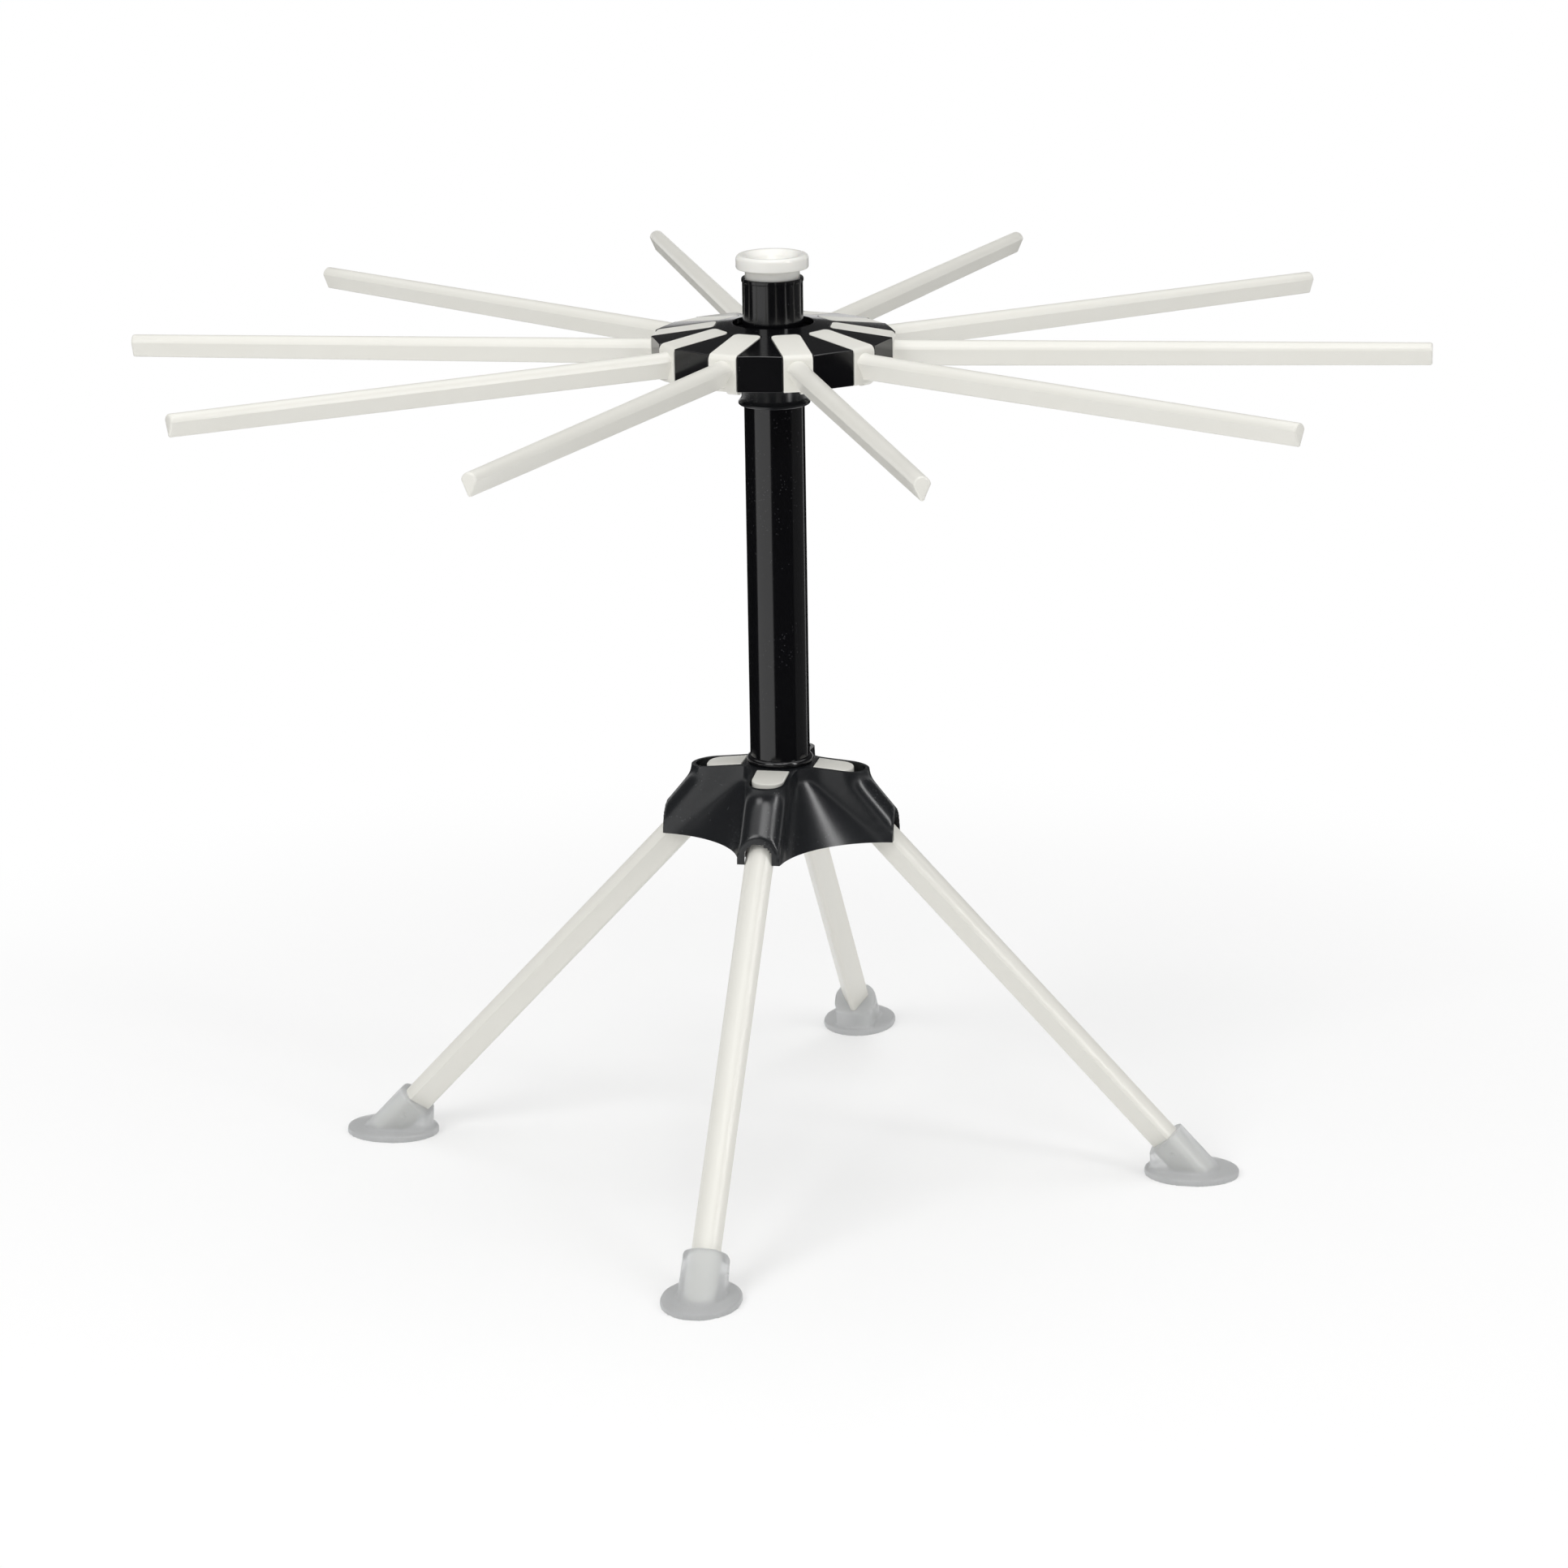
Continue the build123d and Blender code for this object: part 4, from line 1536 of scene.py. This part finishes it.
@dataclass
class Studio:
    """Camera, floor, lamps, reflection cards and world, all lengths in metres."""

    camera_place: Point3 = (0.40005, -1.96917, 0.73886)
    pitch: float = 16.06
    roll: float = -0.923
    turn: float = 11.444
    lens: float = 116.868
    sensor: float = 36.0
    aim_height: float = 0.24
    floor_half: float = 14.0
    paper: float = 0.99
    fade_start: float = 0.24
    fade_end: float = 0.6
    fade_least: float = 0.2
    wall_radius: float = 5.0
    wall_foot: float = 0.7
    wall_top: float = 4.5
    wall_glow: float = 0.07

    def build(self) -> None:
        """Sets up everything round the object."""
        self.camera()
        self.floor()
        self.cards()
        self.world()
        self.lamp("key_left", (-1.3, -1.5, 1.5), (1.1, 0.9), 15.0)
        self.lamp("top", (0.1, 0.2, 2.2), (1.6, 1.6), 13.5)
        self.lamp("strip_right", (1.5, -1.1, 1.1), (0.22, 1.5), 6.0)
        self.lamp("front_high", (0.05, -1.9, 2.1), (1.1, 0.5), 5.4)

    def camera(self) -> None:
        """Sets the camera where the photograph was taken from."""
        pitch, roll = radians(self.pitch), radians(self.roll)
        forward = Vector((0, cos(pitch), -sin(pitch)))
        right = Vector((1, 0, 0))
        up = Vector((0, sin(pitch), cos(pitch)))
        turned_right = cos(roll) * right + sin(roll) * up
        turned_up = -sin(roll) * right + cos(roll) * up
        axes = Matrix((turned_right, turned_up, -forward)).transposed()
        axes = Matrix.Rotation(radians(self.turn), 3, "Z") @ axes
        data = bpy.data.cameras.new("camera")
        data.lens = self.lens
        data.sensor_width = self.sensor
        data.clip_end = 100.0
        item = bpy.data.objects.new("camera", data)
        item.matrix_world = Matrix.Translation(self.camera_place) @ axes.to_4x4()
        bpy.context.scene.collection.objects.link(item)
        bpy.context.scene.camera = item

    def seen(self, shader: Shader) -> Socket:
        """A value of 1 for camera, glossy and transmission rays.

        Args:
            shader: The graph it goes into.

        Returns:
            The value's socket.
        """
        path = shader.node("ShaderNodeLightPath")
        some = shader.math("MAXIMUM", path.outputs["Is Camera Ray"], path.outputs["Is Glossy Ray"])
        return shader.math("MAXIMUM", some, path.outputs["Is Transmission Ray"])

    def staged(self, name: str, mesh: Mesh, coating: str) -> tuple[bpy.types.Object, Shader]:
        """Sets up a studio piece with an empty material, whose glow isn't sampled as a lamp.

        Args:
            name: The piece's name.
            mesh: Its shape, in metres, used up.
            coating: The material's name.

        Returns:
            The piece and the material's graph.
        """
        item = linked(name, mesh)
        material = bpy.data.materials.new(coating)
        material.use_nodes = True
        material.node_tree.nodes.clear()
        material.cycles.emission_sampling = "NONE"
        item.data.materials.append(material)
        return item, Shader(material.node_tree)

    def floor(self) -> None:
        """A pale floor that keeps the object's shadow and reads as white."""
        mesh = bmesh.new()
        bmesh.ops.create_grid(mesh, x_segments=1, y_segments=1, size=self.floor_half)
        item, shader = self.staged("studio_floor", mesh, "PaleFloor")
        away = shader.node("ShaderNodeVectorMath", {0: shader.place()}, operation="LENGTH")
        limits = {
            "Value": away.outputs["Value"],
            "From Min": self.fade_start,
            "From Max": self.fade_end,
            "To Min": self.fade_least,
            "To Max": 1.0,
        }
        fade = shader.node("ShaderNodeMapRange", limits, interpolation_type="SMOOTHSTEP")
        share = shader.math("MULTIPLY", self.seen(shader), fade.outputs["Result"])
        paper = shader.node("ShaderNodeBsdfDiffuse", {"Color": (*(self.paper,) * 3, 1.0)})
        glow = shader.node("ShaderNodeEmission", {"Color": WHITE, "Strength": 1.0})
        mix = shader.node(
            "ShaderNodeMixShader", {0: share, 1: paper.outputs[0], 2: glow.outputs[0]}
        )
        shader.node("ShaderNodeOutputMaterial", {"Surface": mix.outputs[0]})

    def card(self, name: str, mesh: Mesh, glow_level: float) -> None:
        """Sets up a card that only reflections see, as photographers do beside black plastic.

        Args:
            name: The card's name.
            mesh: Its shape, in metres, used up.
            glow_level: How bright it is.
        """
        item, shader = self.staged(name, mesh, name)
        glow = shader.node("ShaderNodeEmission", {"Strength": glow_level})
        shader.node("ShaderNodeOutputMaterial", {"Surface": glow.outputs[0]})
        item.visible_camera = False
        item.visible_diffuse = False
        item.visible_transmission = False
        item.visible_volume_scatter = False
        item.visible_shadow = False

    def ring_sector(
        self, inner: float, outer: float, start: float, sweep: float, height: float
    ) -> Mesh:
        """A flat ring, or part of one, round the rack.

        Args:
            inner: Inner radius.
            outer: Outer radius.
            start: Where it starts, in degrees clockwise from the camera's side.
            sweep: How far it goes, in degrees.
            height: Its height over the table.

        Returns:
            The ring's mesh.
        """
        mesh = bmesh.new()
        verts = [mesh.verts.new((0, -radius, height)) for radius in (inner, outer)]
        edge = mesh.edges.new(verts)
        turn = Matrix.Rotation(radians(self.turn - start), 3, "Z")
        bmesh.ops.rotate(mesh, verts=verts, cent=(0, 0, 0), matrix=turn)
        bmesh.ops.spin(
            mesh, geom=verts + [edge], cent=(0, 0, 0), axis=(0, 0, 1), angle=radians(-sweep),
            steps=24, use_merge=False,
        )
        return mesh

    def cards(self) -> None:
        """Dark walls and a dark table edge, bright cards low on both sides and high in front."""
        wall = bmesh.new()
        bmesh.ops.create_cone(
            wall, cap_ends=False, segments=48, radius1=self.wall_radius, radius2=self.wall_radius,
            depth=self.wall_top - self.wall_foot,
            matrix=Matrix.Translation((0, 0, (self.wall_top + self.wall_foot) / 2)),
        )
        self.card("dark_walls", wall, self.wall_glow)
        table_edge = self.ring_sector(0.42, 4.9, 0.0, 360.0, 0.002)
        self.card("dark_table_edge", table_edge, 0.012)
        self.card("left_card", self.ring_sector(0.45, 3.5, 18.0, 64.0, 0.006), 1.25)
        self.card("right_strip", self.ring_sector(0.6, 3.0, -128.0, -6.0, 0.006), 1.0)
        self.card("right_glow", self.ring_sector(0.45, 3.0, -66.0, -60.0, 0.006), 0.14)
        self.card("high_card", self.panel((0.05, -1.35, 2.7), (1.7, 1.2)), 4.6)
        self.card("right_panel", self.panel((1.4, -1.03, 1.05), (0.3, 1.4)), 9.0)

    def panel(self, place: Point3, size: Point2) -> Mesh:
        """A flat panel that faces the rack.

        Args:
            place: Right of, beyond and above the rack, as seen from the camera.
            size: Width and height.

        Returns:
            The panel's mesh.
        """
        mesh = bmesh.new()
        bmesh.ops.create_grid(mesh, x_segments=1, y_segments=1, size=0.5)
        bmesh.ops.scale(mesh, verts=mesh.verts, vec=(*size, 1.0))
        bmesh.ops.transform(mesh, verts=mesh.verts, matrix=self.facing(place))
        return mesh

    def facing(self, place: Point3) -> Matrix:
        """Puts a lamp or panel at a place and turns it to the rack.

        Args:
            place: Right of, beyond and above the rack, as seen from the camera.

        Returns:
            Its transform.
        """
        where = Matrix.Rotation(radians(self.turn), 3, "Z") @ Vector(place)
        aim = Vector((0, 0, self.aim_height)) - where
        return Matrix.Translation(where) @ aim.to_track_quat("-Z", "Y").to_matrix().to_4x4()

    def world(self) -> None:
        """A white surround that lights the object softly."""
        world = bpy.data.worlds.new("studio")
        world.use_nodes = True
        bpy.context.scene.world = world
        shader = Shader(world.node_tree)
        sky = world.node_tree.nodes["Background"].inputs
        dimmed = shader.math("MULTIPLY", self.seen(shader), 0.5)
        shader.feed(sky["Color"], WHITE)
        shader.feed(sky["Strength"], shader.math("ADD", dimmed, 0.5))

    def lamp(self, name: str, place: Point3, size: Point2, power: float) -> None:
        """Adds a soft lamp that faces the rack, placed as seen from the camera.

        Args:
            name: The lamp's name.
            place: Right of, beyond and above the rack, in metres.
            size: Width and height.
            power: Watts.
        """
        data = bpy.data.lights.new(name, "AREA")
        data.shape = "RECTANGLE"
        data.size, data.size_y = size
        data.energy = power
        item = bpy.data.objects.new(name, data)
        item.matrix_world = self.facing(place)
        bpy.context.scene.collection.objects.link(item)


def main() -> None:
    """Builds the studio and the object, sub-assembly by sub-assembly."""
    logging.basicConfig(level=logging.INFO, format="%(message)s")
    scene = bpy.context.scene
    scene.view_settings.view_transform = "Standard"
    Studio().build()
    paint = Paintbox()
    head = ArmHead(paint)
    hub = LegHub(paint)
    Tube(paint).build()
    head.build()
    Arms(paint, head).build()
    hub.build()
    Legs(paint, hub).build()
    Wand(paint).build()
    for fixing in (
        ("arm_hub_fixings", "arm_hub_screws", Body.ARM_HEAD, 334.0, 31.0, 5, 22.85, 1.0, 2.0, 7.0),
        ("leg_hub_fixings", "leg_hub_screws", Body.STAND, 140.0, 19.6, 4, 45.0, 1.25, 2.4, 9.0),
        ("centre_fixing", "tube_screw", Body.STAND, 143.0, 0.0, 1, 0.0, 2.0, 3.6, 13.0),
    ):
        Screws(paint, *fixing).build()


if __name__ == "__main__":
    main()
